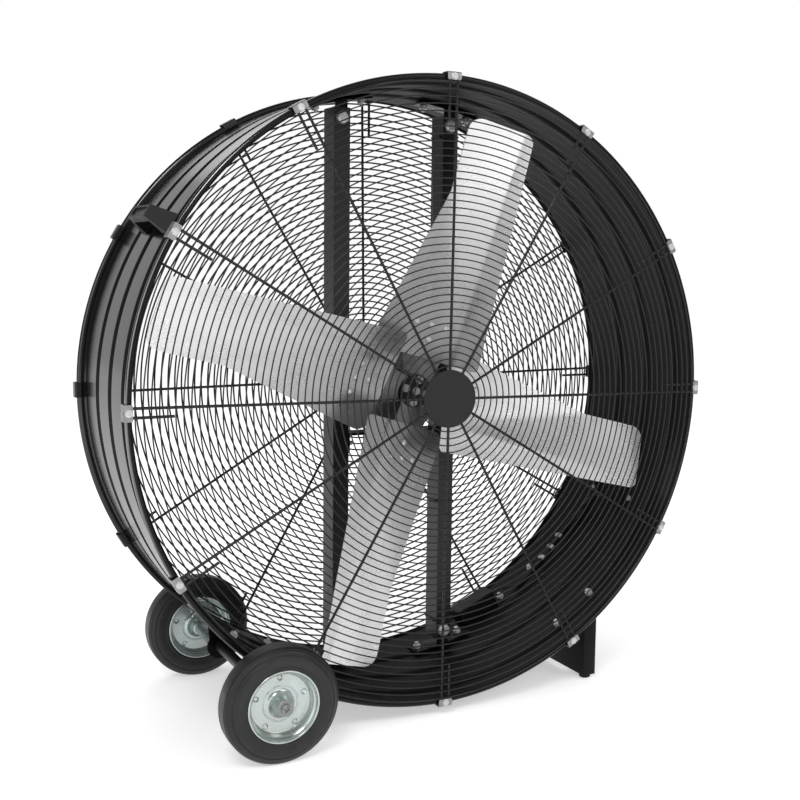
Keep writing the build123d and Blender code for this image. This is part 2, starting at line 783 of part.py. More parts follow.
def make_foot():
    # a folded sheet: an upright web, a flange at each end, a floor strip and two saddles on the drum
    web_x = (foot_web_x, foot_web_x + foot_sheet)
    strip_x = (foot_web_x, foot_web_x + foot_flange)
    top = axis_height - sqrt(saddle_inner ** 2 - (foot_web_x + foot_flange) ** 2)
    outside = y_rod(0, axis_height, -2 * half_depth, 2 * half_depth, saddle_inner + saddle_sheet / 2)
    foot = block(web_x, (foot_front, foot_back), (rubber_height, top))
    for y in (foot_front, foot_back - foot_sheet):
        foot += block(strip_x, (y, y + foot_sheet), (rubber_height, top))
    foot += block(strip_x, (foot_front, foot_back), (rubber_height, foot_low))
    foot -= outside
    for y in foot_ys:
        foot += make_saddle(foot_bolt_places, y)
    for x, y in rubber_places():
        foot -= rod((x, y, 0), (x, y, foot_low + 1), 3.0 + bolt_clearance)
    # the floor strip is cut away between the two ends
    length = (foot_front + 60.0, foot_back - 60.0)
    foot -= block((foot_web_x + foot_sheet, foot_web_x + foot_flange + 1), length, (0, foot_low + 1))
    return foot


def rubber_places():
    x = foot_web_x + foot_sheet + rubber_radius + 1.0
    return [(x, foot_front + rubber_inset), (x, foot_back - rubber_inset)]


def make_rubber_feet():
    solids = []
    for x, y in rubber_places():
        pad = rod((x, y, 0), (x, y, rubber_height), rubber_radius)
        pad = chamfer(pad.edges().sort_by(Axis.Z)[0], 1.5)
        solids.append(pad - rod((x, y, 3.0), (x, y, rubber_height), 3.0 + fit_clearance))
    return solids


def make_rubber_bolts():
    solids = []
    for x, y in rubber_places():
        shank = rod((x, y, 3.0), (x, y, foot_low), 3.0)
        solids.append(shank + rod((x, y, foot_low), (x, y, foot_low + 4.0), 5.5))
    return solids




def make_axle():
    end = half_depth + wheel_outset + wheel_hub_length / 2 + side_gap + 1.0
    axle = y_rod(axle_x, axle_z, -end, end, axle_radius)
    for side in (-1, 1):
        axle -= y_rod(axle_x, axle_z, side * (end - 20.0), side * (end + 1.0), hub_bolt + fit_clearance)
    return axle


def make_axle_bracket(y):
    # a saddle on the drum with an upright plate that the axle passes through
    span = saddle_span(y)
    middle = axle_plate_low(y) + axle_bracket_sheet / 2
    bracket = make_saddle(axle_bolt_places, y)
    out = around(axle_reach, axle_angle, 0)
    half_angle = axle_bracket_spread * 0.62
    a = around(saddle_inner + 1.0, axle_angle - half_angle, 0)
    b = around(saddle_inner + 1.0, axle_angle + half_angle, 0)
    eye = 24.0
    across = Vector(-sin(radians(axle_angle)), 0, cos(radians(axle_angle)))
    c, d = out + across * eye, out - across * eye
    low, high = middle - axle_bracket_sheet / 2, middle + axle_bracket_sheet / 2
    outline = make_face(Polyline(*[(p.X, low, p.Z) for p in (a, b, c, d)], close=True))
    plate = extrude(outline, amount=axle_bracket_sheet, dir=(0, 1, 0)) + y_rod(out.X, out.Z, low, high, eye)
    plate -= y_rod(0, axis_height, span[0] - 9, span[1] + 9, saddle_inner + saddle_sheet / 2)
    bracket += plate
    return bracket - y_rod(out.X, out.Z, low - 1, high + 1, axle_radius + seat_gap)


def axle_plate_low(y):
    return y + bracket_bolt * 2.4 if y < 0 else y - bracket_bolt * 2.4 - axle_bracket_sheet


def make_collars():
    # rings that hold the axle from sliding in its two plates
    solids = []
    for y in foot_ys:
        low = axle_plate_low(y)
        start = low - seat_gap - collar_length if y < 0 else low + axle_bracket_sheet + seat_gap
        solids.append(axle_ring(start, start + collar_length, collar_radius, axle_radius + fit_clearance))
    return solids


def axle_ring(low, high, outer, inner):
    return y_rod(axle_x, axle_z, low, high, outer) - y_rod(axle_x, axle_z, low, high, inner)


def make_wheel_spacers():
    # tubes from the plates to the wheels' inner washers
    solids = []
    for side, y in zip((-1, 1), foot_ys):
        wheel_side = side * (half_depth + wheel_outset - wheel_hub_length / 2 - side_gap)
        plate = axle_plate_low(y) + (0 if y < 0 else axle_bracket_sheet) + side * (collar_length + 2 * seat_gap)
        solids.append(axle_ring(*sorted((plate, wheel_side)), axle_radius + 2.5, axle_radius + fit_clearance))
    return solids


def make_axle_ends():
    # a washer and a hex bolt in each end of the axle
    solids = []
    for side in (-1, 1):
        face = side * (half_depth + wheel_outset + wheel_hub_length / 2 + side_gap + 1.0)
        washer = y_rod(axle_x, axle_z, face, face + side * 2.5, wheel_hub_radius - 1.0)
        plane = Plane(origin=(axle_x, face + side * 2.5, axle_z), z_dir=(0, side, 0))
        head = extrude(plane * RegularPolygon(7.5, 6), amount=5.0)
        shank = y_rod(axle_x, axle_z, face, face - side * 18.0, hub_bolt)
        solids.append(washer + head + shank)
    return solids


def wheel_place(side):
    return Pos(axle_x, side * (half_depth + wheel_outset), axle_z)


def make_tyre(side):
    # solid rubber with rounded shoulders, a flat tread and a ring on each side wall
    half = tyre_width / 2
    shoulder = 12.0
    bulge = 3.0
    seat = wheel_seat + fit_clearance
    edges = [Line((seat, 6.4 - half), (seat, half - 6.4)),
             Line((seat, half - 6.4), (seat + 3.6, half - 1.5)),
             Line((seat + 3.6, half - 1.5), (seat + 5, half - 1)),
             ThreePointArc((seat + 5, half - 1), ((seat + tyre_radius) / 2, half + bulge - 2),
                           (tyre_radius - shoulder, half - 2)),
             ThreePointArc((tyre_radius - shoulder, half - 2), (tyre_radius - 3.0, half - 8),
                           (tyre_radius, half - 16)),
             Line((tyre_radius, half - 16), (tyre_radius, 16 - half)),
             ThreePointArc((tyre_radius, 16 - half), (tyre_radius - 3.0, 8 - half),
                           (tyre_radius - shoulder, 2 - half)),
             ThreePointArc((tyre_radius - shoulder, 2 - half), ((seat + tyre_radius) / 2, 2 - half - bulge),
                           (seat + 5, 1 - half)),
             Line((seat + 5, 1 - half), (seat + 3.6, 1.5 - half)),
             Line((seat + 3.6, 1.5 - half), (seat, 6.4 - half))]
    return turned(make_face(Curve() + edges), wheel_place(side))


def make_wheel_rim(side):
    # a pressed disc: tube hub, raised cup, flat web, drop to the tyre's seat and rolled lips
    t = wheel_plate
    hub, half_hub = wheel_hub_radius, wheel_hub_length / 2
    seat, half = wheel_seat, tyre_width / 2
    def bar(r0, r1, y0, y1):
        return Pos((r0 + r1) / 2, (y0 + y1) / 2) * Rectangle(r1 - r0, y1 - y0)
    section = bar(axle_radius + running_clearance + 0.03, hub, -half_hub, half_hub)
    section += bar(seat - t, seat, 6 - half, half - 6)
    for end in (-1, 1):
        web = end * (half - 13.0)
        cup = [(hub - 1, end * (half_hub - 6)), (hub + 4, end * (half_hub - 7)),
               (hub + 11, web + end * t), (seat - t - 7, web + end * t),
               (seat - t, web + end * (t + 7)), (seat - t, web + end * 7),
               (seat - t - 6, web), (hub + 9.5, web),
               (hub + 2.5, end * (half_hub - 7 - t)), (hub - 1, end * (half_hub - 6 - t))]
        section += make_face(Polyline(*cup, close=True))
        lip = [(seat - t, end * (half - 6)), (seat, end * (half - 6)),
               (seat + 3.2, end * (half - 1.6)), (seat + 3.2, end * (half + 0.4)),
               (seat + 1.2, end * (half + 0.4)), (seat - t, end * (half - 4))]
        section += make_face(Polyline(*lip, close=True))
    return turned(section, wheel_place(side))


def make_handle():
    # a bridge with sloped legs, hollowed from underneath and dished between two ridges on top
    half_base, half_top = handle_base_length / 2, handle_top_length / 2
    wall = handle_wall
    plane = wall_plane(skin_outer + seat_gap / 2, handle_angle, handle_middle)
    side_view = Plane.YZ * make_face(Polyline((-half_base, 0), (half_base, 0), (half_top, handle_height),
                                              (-half_top, handle_height), close=True))
    end_view = Plane.XZ * make_face(Polyline((-handle_base_width / 2, 0), (handle_base_width / 2, 0),
                                             (handle_top_width / 2, handle_height),
                                             (-handle_top_width / 2, handle_height), close=True))
    solid = extrude(side_view, amount=handle_base_width, both=True)
    solid = solid & extrude(end_view, amount=handle_base_length, both=True)
    inner_base, inner_top = half_base - 30.0, half_top - 4.0
    grip_low = handle_height - 13.0
    gap = Plane.YZ * make_face(Polyline((-inner_base, -1), (inner_base, -1), (inner_top, grip_low),
                                        (-inner_top, grip_low), close=True))
    solid -= extrude(gap, amount=handle_base_width, both=True)
    solid -= Pos(0, 0, handle_height) * Box(handle_top_width - 9.0, handle_top_length - 22.0, 5.0)
    for y in handle_ys:
        boss = handle_screw + fit_clearance
        solid -= Pos(0, y - handle_middle, 6.0) * Cylinder(boss, 13.0)
    return plane.location * solid


def make_inner_screws(places, outside, radius):
    solids = []
    for angle, y in places:
        inside = inside_seat(y, 2 * radius)
        solids.append(wall_screw(angle, y, inside, outside, radius))
    return solids


switch_base = skin_outer + switch_seat
switch_face = switch_base + switch_height


def switch_plane(radius):
    return wall_plane(radius, switch_angle, switch_middle)


def make_switch_box():
    # a tray with screw bosses, open outwards
    plane = switch_plane(switch_base)
    outer = Pos(0, 0, switch_height / 2) * Box(switch_width, switch_length, switch_height)
    outer = fillet(outer.edges().filter_by(Axis.Z), 6.0)
    room = Pos(0, 0, switch_wall + switch_height / 2) * Box(switch_width - 2 * switch_wall,
                                                            switch_length - 2 * switch_wall, switch_height)
    room = fillet(room.edges().filter_by(Axis.Z), 4.0)
    box = outer - room
    reach = switch_screw_pitch / 2
    for end in (-1, 1):
        boss = Pos(0, end * reach, 7.0) * Cylinder(7.0, 14.0)
        box += boss
        box -= Pos(0, end * reach, 6.0) * Cylinder(handle_screw + fit_clearance, 13.0)
        for side in (-1, 1):
            x, y = side * (switch_width / 2 - lid_screw_inset), end * (switch_length / 2 - lid_screw_inset)
            box += Pos(x, y, switch_height / 2) * Cylinder(4.5, switch_height)
            box -= Pos(x, y, switch_height - 6.0) * Cylinder(1.5 + fit_clearance, 13.0)
    box = box & (Pos(0, 0, switch_height / 2) * Box(switch_width, switch_length, switch_height))
    box -= Pos(grommet_offset(), 0, 0) * Cylinder(grommet_hole + bolt_clearance, 3 * switch_wall)
    box -= gland_place() * Cylinder(gland_radius + bolt_clearance, 4 * switch_wall)
    return plane.location * box


def grommet_offset():
    # the grommet lies a little below the box's middle line
    return -(grommet_place[0] - switch_angle) * radians(1) * switch_base


gland_radius = 8.0
gland_height = 18.0


def gland_place():
    return Pos(0, switch_length / 2, switch_wall + gland_height) * Rot(90, 0, 0)


def make_switch_lid():
    plane = switch_plane(switch_face)
    lid = Pos(0, 0, switch_lid / 2) * Box(switch_width, switch_length, switch_lid)
    lid = fillet(lid.edges().filter_by(Axis.Z), 6.0)
    lid = fillet(lid.faces().sort_by(Axis.Z)[-1].edges(), 0.9)
    for end in (-1, 1):
        for side in (-1, 1):
            x, y = side * (switch_width / 2 - lid_screw_inset), end * (switch_length / 2 - lid_screw_inset)
            lid -= Pos(x, y, switch_lid / 2) * Cylinder(1.5 + bolt_clearance, 2 * switch_lid)
    lid -= Cylinder(knob_stem + 1.0, 3 * switch_lid)
    return plane.location * lid


def make_lid_screws():
    plane = switch_plane(switch_face + switch_lid)
    solids = []
    for end in (-1, 1):
        for side in (-1, 1):
            x, y = side * (switch_width / 2 - lid_screw_inset), end * (switch_length / 2 - lid_screw_inset)
            screw = Pos(x, y, 0.9) * Cylinder(3.0, 1.8) + Pos(x, y, -5.0) * Cylinder(1.5, 10.0)
            solids.append(plane.location * screw)
    return solids


def make_rotary_switch():
    # the switch's body hangs under the lid on its threaded neck
    plane = switch_plane(switch_face)
    body = Pos(0, 0, -switch_body_height / 2) * Box(switch_body_size, switch_body_size, switch_body_height)
    body += Pos(0, 0, switch_lid / 2 + 0.5) * (Cylinder(knob_stem + 0.9, switch_lid + 1.0))
    body -= Cylinder(knob_stem - 1.0 + running_clearance, 60)
    return plane.location * body


def make_knob():
    # a pointer knob on its spindle: the spindle reaches into the switch
    plane = switch_plane(switch_face + switch_lid + 1.6)
    knob = Pos(0, 0, knob_height / 2) * Cylinder(knob_radius, knob_height)
    knob = fillet(knob.edges().sort_by(Axis.Z)[-1], 2.5)
    for side in (-1, 1):
        knob -= Pos(side * (knob_radius + 2.5), 0, knob_height / 2 + 4.0) * Box(16.0, 3 * knob_radius, knob_height)
    knob += Pos(0, knob_radius - 5.0, knob_height + 0.3) * Box(2.0, 7.0, 0.8)
    knob += Pos(0, 0, -8.0) * Cylinder(knob_stem - 1.0, 16.4)
    return plane.location * knob


def make_gland():
    # the power inlet's gland in the box's rear end wall
    plane = switch_plane(switch_base)
    z = switch_wall + gland_height
    end = switch_length / 2
    gland = Pos(0, end - switch_wall / 2, z) * Rot(90, 0, 0) * Cylinder(gland_radius, switch_wall + 8.0)
    nut = Plane(origin=(0, end, z), z_dir=(0, 1, 0)) * RegularPolygon(11.0, 6)
    gland += extrude(nut, amount=5.0)
    gland += Pos(0, end + 10.0, z) * Rot(90, 0, 0) * Cylinder(8.5, 12.0)
    gland -= Pos(0, end, z) * Rot(90, 0, 0) * Cylinder(4.2, 60.0)
    return plane.location * gland


def make_grommet():
    # a rubber ring that lines the hole through the drum and the box's floor
    plane = wall_plane(skin_inner - seat_gap, *grommet_place)
    length = skin_thickness + switch_wall + 3.5
    ring = Pos(0, 0, length / 2) * Cylinder(grommet_hole, length)
    ring += Pos(0, 0, -1.25) * Cylinder(grommet_hole + 3.0, 2.5)
    ring -= Cylinder(cable_radius + 0.1, 4 * length)
    return plane.location * ring


cap_base = skin_inner - seat_gap


def capacitor_plane(radius):
    return wall_plane(radius, capacitor_angle, capacitor_y)


def make_capacitor_box():
    # lies on its side against the last flat band, inside the drum
    inner = sqrt(cap_base ** 2 - (capacitor_length / 2) ** 2)
    plane = capacitor_plane(inner)
    box = Pos(0, 0, -capacitor_height / 2) * Box(capacitor_length, capacitor_width, capacitor_height)
    box = fillet(box.edges().filter_by(Axis.Z), 5.0)
    box = fillet(box.faces().sort_by(Axis.Z)[0].edges(), 2.0)
    box = plane.location * box
    for angle, y in capacitor_places:
        plane = wall_plane(cap_base - 14.0, angle, y)
        box -= extrude(plane * Circle(handle_screw + fit_clearance), amount=30.0)
    return box


def make_capacitor_screws():
    solids = []
    for angle, y in capacitor_places:
        outer = wall_plane(skin_outer + seat_gap, angle, y)
        head = extrude(outer * Circle(1.9 * handle_screw), amount=1.1 * handle_screw)
        solids.append(head + extrude(outer * Circle(handle_screw), amount=-14.0))
    return solids


cable_wall = skin_inner - cable_radius - 0.4


def wall_point(angle, depth, lift=0.0):
    return around(cable_wall - lift, angle, from_front(depth))


def round_lead(points, bend, radius):
    path = FilletPolyline(*points, radius=bend)
    section = Plane(origin=path @ 0, z_dir=path % 0) * Circle(radius)
    return sweep(section, path=path)


def make_leads():
    # motor to capacitor box down the right post, and on along the wall to the switch box
    back = post_high - cable_radius - 0.1
    box_y = capacitor_y
    middle_radius = cap_base - capacitor_height / 2 - 2.0
    entry = degrees(asin((capacitor_length / 2 + side_gap) / middle_radius))
    first = [(motor_radius - 6.0, lead_y, axis_height),
             (post_spread, lead_y, axis_height),
             (post_spread, back, axis_height - 70.0),
             (post_spread, back, axis_height - 492.0),
             (post_spread + 8.0, box_y - 8.0, axis_height - 510.0),
             around(middle_radius - 3.0, capacitor_angle - entry - 3.0, box_y),
             around(middle_radius, capacitor_angle - entry, box_y)]
    second = [around(middle_radius, capacitor_angle + entry, box_y),
              around(middle_radius, capacitor_angle + entry + 2.2, box_y - 2.0),
              wall_point(-54.6, clip_cable_depth), wall_point(-51.6, clip_cable_depth),
              wall_point(-48.7, clip_cable_depth), wall_point(clip_angles[0], clip_cable_depth),
              wall_point(clip_angles[1], clip_cable_depth), wall_point(clip_angles[2], clip_cable_depth),
              wall_point(-36.4, clip_cable_depth, 1.0), wall_point(-32.0, 238.0, 8.0),
              wall_point(grommet_place[0], 196.0, 20.0),
              around(cable_wall - 16.0, grommet_place[0], grommet_place[1]),
              around(skin_outer + 13.0, *grommet_place)]
    return [round_lead(first, 9.0, cable_radius), round_lead(second, 5.0, cable_radius)]


def make_earth_lead():
    # motor shell to the right post's top bolt
    back = post_high - lead_radius - 0.1
    top = axis_height + post_bolt_z
    tip = tab_low + bracket_plate + 13.0 + lead_radius + 0.3
    points = [(motor_radius - 6.0, lead_y, axis_height + earth_rise),
              (post_spread, lead_y, axis_height + earth_rise),
              (post_spread, back, axis_height + 70.0),
              (post_spread, back, top - 30.0),
              (post_spread, tip, top - 14.0),
              (post_spread, tip, top + 3.0)]
    return round_lead(points, 5.0, lead_radius)


def make_lead_glands():
    # bushes that line the two holes in the motor's shell
    solids = []
    for z, radius in ((axis_height, cable_radius), (axis_height + earth_rise, lead_radius)):
        start, end = (motor_radius - 4.5, lead_y, z), (motor_radius + 4.0, lead_y, z)
        bush = rod(start, end, radius + 2.0 - fit_clearance)
        bush += rod((motor_radius + 0.3, lead_y, z), end, radius + 3.5)
        solids.append(bush - rod((motor_radius - 9, lead_y, z), (motor_radius + 9, lead_y, z), radius + 0.1))
    return solids


def make_ties():
    # bands round the right post that hold the leads in the channel
    x0, x1 = post_spread - post_width / 2 - 0.3, post_spread + post_width / 2 + 0.3
    y0, y1 = post_low - 0.3, post_high + 0.3
    ties = []
    for height in tie_heights:
        z = (axis_height + height - tie_width / 2, axis_height + height + tie_width / 2)
        grow = tie_sheet
        outer = block((x0 - grow, x1 + grow), (y0 - grow, y1 + grow), z)
        outer = fillet(outer.edges().filter_by(Axis.Z), 1.5)
        tie = outer - block((x0, x1), (y0, y1), z)
        latch = block((x0 - grow - 3.5, x0 - grow), (y0 + 8, y0 + 15), (z[0] - 1.0, z[1] + 1.0))
        ties.append(tie + latch)
    return ties


def make_clips():
    # P-clips that hold the lead to the drum's last flat band
    # what would stand in the drum's sheet is cut away
    clips = []
    gap = skin_inner - cable_wall
    beyond = 4 * clip_pad
    for angle in clip_angles:
        plane = wall_plane(skin_inner, angle, from_front(clip_cable_depth))
        loop = Pos(0, 0, -gap) * Rot(0, 90, 0) * Cylinder(cable_radius + clip_slack + clip_sheet, clip_width)
        pad = Pos(0, (clip_pad + 5.0) / 2, -0.1 - clip_sheet / 2) * Box(clip_width, clip_pad + 5.0, clip_sheet)
        clip = loop + pad
        clip -= Pos(0, 0, -gap) * Rot(0, 90, 0) * Cylinder(cable_radius + clip_slack, clip_width + 2)
        clip -= Pos(0, clip_pad, 0) * Cylinder(clip_screw + bolt_clearance, 8.0)
        clip -= Pos(0, 0, beyond / 2 - seat_gap) * Box(2 * beyond, 2 * beyond, beyond)
        clips.append(plane.location * clip)
    return clips


def make_clip_screws():
    solids = []
    for angle, y in clip_screw_places:
        inside = skin_inner - 0.2 - clip_sheet
        solids.append(wall_screw(angle, y, inside, skin_outer + 2.0, clip_screw))
    return solids


def make_rails():
    # two cross pieces between the posts, folded down at both ends, that carry the motor's pads
    rails = []
    half = post_spread - post_width / 2 - seat_gap
    low, high = rail_y - rail_length_y / 2, rail_y + rail_length_y / 2
    for end in (-1, 1):
        z0, z1 = end * rail_z, end * (rail_z + rail_thickness)
        rail = block((-half, half), (low, high), (axis_height + z0, axis_height + z1))
        for side in (-1, 1):
            x = sorted((side * half, side * (half - rail_thickness)))
            ear_end = axis_height + end * (rail_z + rail_thickness + rail_ear)
            rail += block(x, (low, high), (axis_height + z0, ear_end))
            z = axis_height + end * ear_bolt_z
            rail -= rod((x[0] - 1, rail_y, z), (x[1] + 1, rail_y, z), rail_bolt + bolt_clearance)
        for x in (-pad_bolt_spread / 2, pad_bolt_spread / 2):
            middle = axis_height + (z0 + z1) / 2
            rail -= rod((x, rail_y, middle - 2 * rail_thickness), (x, rail_y, middle + 2 * rail_thickness),
                        rail_bolt + bolt_clearance)
        rails.append(rail)
    return rails


def make_ear_bolts():
    # through the posts' inner walls into the rails' ears, heads inside the channels
    solids = []
    for side in (-1, 1):
        for end in (-1, 1):
            z = axis_height + end * ear_bolt_z
            wall = side * (post_spread - post_width / 2 + post_wall)
            tip = side * (post_spread - post_width / 2 - rail_thickness - 12.0)
            plane = Plane(origin=(wall, rail_y, z), z_dir=(side, 0, 0))
            head = extrude(plane * RegularPolygon(7.5, 6), amount=5.0)
            solids.append(head + rod((wall, rail_y, z), (tip, rail_y, z), rail_bolt))
    return solids


def make_ear_nuts():
    solids = []
    for side in (-1, 1):
        for end in (-1, 1):
            z = axis_height + end * ear_bolt_z
            face = side * (post_spread - post_width / 2 - seat_gap - rail_thickness)
            plane = Plane(origin=(face, rail_y, z), z_dir=(-side, 0, 0))
            nut = extrude(plane * RegularPolygon(7.5, 6), amount=6.5)
            solids.append(nut - extrude(plane * Circle(rail_bolt + fit_clearance), amount=6.5))
    return solids


def make_pad_bolts():
    solids = []
    for end in (-1, 1):
        for x in (-pad_bolt_spread / 2, pad_bolt_spread / 2):
            face = axis_height + end * (rail_z + rail_thickness)
            plane = Plane(origin=(x, rail_y, face), z_dir=(0, 0, end))
            head = extrude(plane * RegularPolygon(7.5, 6), amount=5.0)
            solids.append(head + rod((x, rail_y, face), (x, rail_y, face - end * pad_bolt_length), rail_bolt))
    return solids


def main():
    os.makedirs("parts", exist_ok=True)
    save("drum", make_drum())
    guard = make_guard()
    clamp_screws = []
    for side, name in ((-1, "front"), (1, "rear")):
        save(f"{name}_guard", facing(side) * guard)
        save(f"{name}_guard_cap", make_cap(side))
        clamps, screws = make_clamps(side)
        save(f"{name}_guard_clamps", together(clamps))
        clamp_screws += screws
    save("guard_clamp_screws", together(clamp_screws))
    save("left_post", make_post(-1))
    save("right_post", make_post(1))
    save("post_brackets", together([make_post_bracket(side, end) for side in (-1, 1) for end in (-1, 1)]))
    bolts, nuts = make_post_bolts()
    save("post_bolts", together(bolts))
    save("post_nuts", together(nuts))
    bracket_bolts, bracket_nuts = make_bracket_fixings()
    saddle_bolts, saddle_nuts = make_saddle_fixings(axle_bolt_places + foot_bolt_places)
    save("drum_bolts", together(bracket_bolts + saddle_bolts))
    save("drum_nuts", together(bracket_nuts + saddle_nuts))
    save("motor_shell", make_motor_shell())
    save("motor_front_cover", make_motor_cover(-1))
    save("motor_rear_cover", make_motor_cover(1))
    save("motor_bearings", together(make_bearings()))
    save("stator_core", make_stator())
    save("stator_windings", together(make_windings()))
    save("motor_rails", together(make_rails()))
    save("rail_bolts", together(make_ear_bolts() + make_pad_bolts()))
    save("rail_nuts", together(make_ear_nuts()))
    save("motor_shaft", make_shaft())
    save("rotor_core", make_rotor_core())
    save("fan_hub", make_hub())
    save("hub_bolts", together(make_hub_bolts()))
    blade = make_blade_shape()
    for index in range(blade_count):
        save(f"blade_{index + 1}", blade_frame(index) * blade)
    save("blade_rivets", together(make_rivets()))
    for side, name in ((-1, "front"), (1, "rear")):
        save(f"{name}_tyre", make_tyre(side))
        save(f"{name}_wheel_rim", make_wheel_rim(side))
    save("wheel_axle", make_axle())
    save("axle_brackets", together([make_axle_bracket(y) for y in foot_ys]))
    save("axle_collars", together(make_collars()))
    save("wheel_spacers", together(make_wheel_spacers()))
    save("axle_end_bolts", together(make_axle_ends()))
    save("foot", make_foot())
    save("rubber_feet", together(make_rubber_feet()))
    save("rubber_foot_bolts", together(make_rubber_bolts()))
    save("carry_handle", make_handle())
    outside = skin_outer + 9.0
    screws = make_inner_screws(handle_screw_places + switch_screw_places, outside, handle_screw)
    save("drum_screws", together(screws + make_capacitor_screws()))
    save("switch_box", make_switch_box())
    save("switch_box_lid", make_switch_lid())
    save("switch_lid_screws", together(make_lid_screws()))
    save("rotary_switch", make_rotary_switch())
    save("speed_knob", make_knob())
    save("inlet_gland", make_gland())
    save("capacitor_box", make_capacitor_box())
    save("motor_leads", together(make_leads()))
    save("earth_lead", make_earth_lead())
    save("lead_grommets", together(make_lead_glands() + [make_grommet()]))
    save("cable_ties", together(make_ties()))
    save("cable_clips", together(make_clips()))
    save("clip_screws", together(make_clip_screws()))


main()
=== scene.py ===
# Drum fan on two wheels and a foot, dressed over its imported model.
# +Z is up, the fan axis runs along Y and the air leaves towards -Y.
# Shapes are worked out in millimetres and become metres when a piece is made.
import json
from math import cos, pi, radians, sin, tan

import bmesh
import bpy
import numpy as np
from mathutils import Matrix, Vector


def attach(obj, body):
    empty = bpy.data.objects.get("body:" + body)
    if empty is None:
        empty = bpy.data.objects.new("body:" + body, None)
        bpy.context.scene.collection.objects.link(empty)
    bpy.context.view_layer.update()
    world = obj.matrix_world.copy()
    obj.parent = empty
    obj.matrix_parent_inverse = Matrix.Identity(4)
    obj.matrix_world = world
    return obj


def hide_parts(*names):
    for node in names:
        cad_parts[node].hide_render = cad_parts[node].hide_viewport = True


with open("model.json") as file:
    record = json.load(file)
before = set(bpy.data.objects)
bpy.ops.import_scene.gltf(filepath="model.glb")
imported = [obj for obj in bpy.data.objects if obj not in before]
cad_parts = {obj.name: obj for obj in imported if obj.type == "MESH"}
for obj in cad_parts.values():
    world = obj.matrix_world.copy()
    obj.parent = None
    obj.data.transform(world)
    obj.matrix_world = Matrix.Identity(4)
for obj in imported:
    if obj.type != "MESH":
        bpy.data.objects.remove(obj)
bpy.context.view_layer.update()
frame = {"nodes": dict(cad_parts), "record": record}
nodes = frame["nodes"]
axisHeight = 588.0  # the fan axis over the floor
milli = 0.001  # a millimetre in metres
bpy.context.scene.view_settings.view_transform = "Standard"
slots = {part["node"]: part["material_slot"] for part in frame["record"]["subparts"]}
print("frame loaded,", len(nodes), "nodes")


# the camera's place in metres, its angles in degrees, its lens and sensor in millimetres
camera = dict(place=(-0.9879, -2.0368, 0.8312), turn=-30.26, tilt=6.76, roll=1.11, lens=52.97, sensor=36.0,
              near=0.05, shift=(-0.1162, 0.0031))


def addCamera():
    # turned about the upright, then tipped down, then rolled about its own line of sight
    data = bpy.data.cameras.new("camera")
    data.lens = camera["lens"]
    data.sensor_width = camera["sensor"]
    data.shift_x, data.shift_y = camera["shift"]
    data.clip_start = camera["near"]
    body = bpy.data.objects.new("camera", data)
    turn = Matrix.Rotation(radians(camera["turn"]), 4, "Z")
    tilt = Matrix.Rotation(radians(90.0 - camera["tilt"]), 4, "X")
    roll = Matrix.Rotation(radians(camera["roll"]), 4, "Z")
    body.matrix_world = Matrix.Translation(camera["place"]) @ turn @ tilt @ roll
    bpy.context.scene.collection.objects.link(body)
    bpy.context.scene.camera = body


class Sock:
    # a shader socket that sums can be written with, the socket on the left; its owner makes the nodes
    def __init__(self, owner, socket):
        self.owner = owner
        self.socket = socket

    def sum(self, operation, other):
        return self.owner.node("Math", dict(operation=operation), {0: self, 1: other})

    def __add__(self, other):
        return self.sum("ADD", other)

    def __sub__(self, other):
        return self.sum("SUBTRACT", other)

    def __mul__(self, other):
        return self.sum("MULTIPLY", other)

    def __pow__(self, other):
        return self.sum("POWER", other)


class Shading:
    # writes nodes into one tree
    def __init__(self, tree):
        self.tree = tree
        self.tree.nodes.clear()

    def node(self, kind, settings=None, inputs=None, output=0):
        # any node: settings first, then the values or links of its sockets
        made = self.tree.nodes.new("ShaderNode" + kind)
        for key, value in (settings or {}).items():
            setattr(made, key, value)
        for key, value in (inputs or {}).items():
            if isinstance(value, Sock):
                self.tree.links.new(value.socket, made.inputs[key])
            else:
                made.inputs[key].default_value = value
        return Sock(self, made.outputs[output] if made.outputs else None)

    def part(self, where, axis):
        # one of a vector's three parts
        return self.node("SeparateXYZ", None, {0: where}, output=axis)

    def noise(self, where, scale, detail=3.0, rough=0.55):
        # Blender's own noise, nought to one with its middle near a half
        return self.node("TexNoise", None, {"Vector": where, "Scale": scale, "Detail": detail,
                                            "Roughness": rough})

    def ramp(self, value, low, high, dark=0.0, light=1.0):
        # value between low and high becomes dark to light
        return self.node("MapRange", None, {"Value": value, "From Min": low, "From Max": high,
                                            "To Min": dark, "To Max": light})

    def blend(self, share, a, b):
        # one colour into another by a share
        return self.node("Mix", dict(data_type="RGBA"), {0: share, 6: a, 7: b}, output=2)

    def unlit(self):
        # one where the eye, a reflection or a clear thing looks, nought where light is gathered
        path = self.tree.nodes.new("ShaderNodeLightPath")
        seen = [Sock(self, path.outputs[kind]) for kind in ("Is Glossy Ray", "Is Transmission Ray")]
        mirrored = self.node("Math", dict(operation="MAXIMUM"), {0: seen[0], 1: seen[1]})
        return Sock(self, path.outputs["Is Camera Ray"]), mirrored


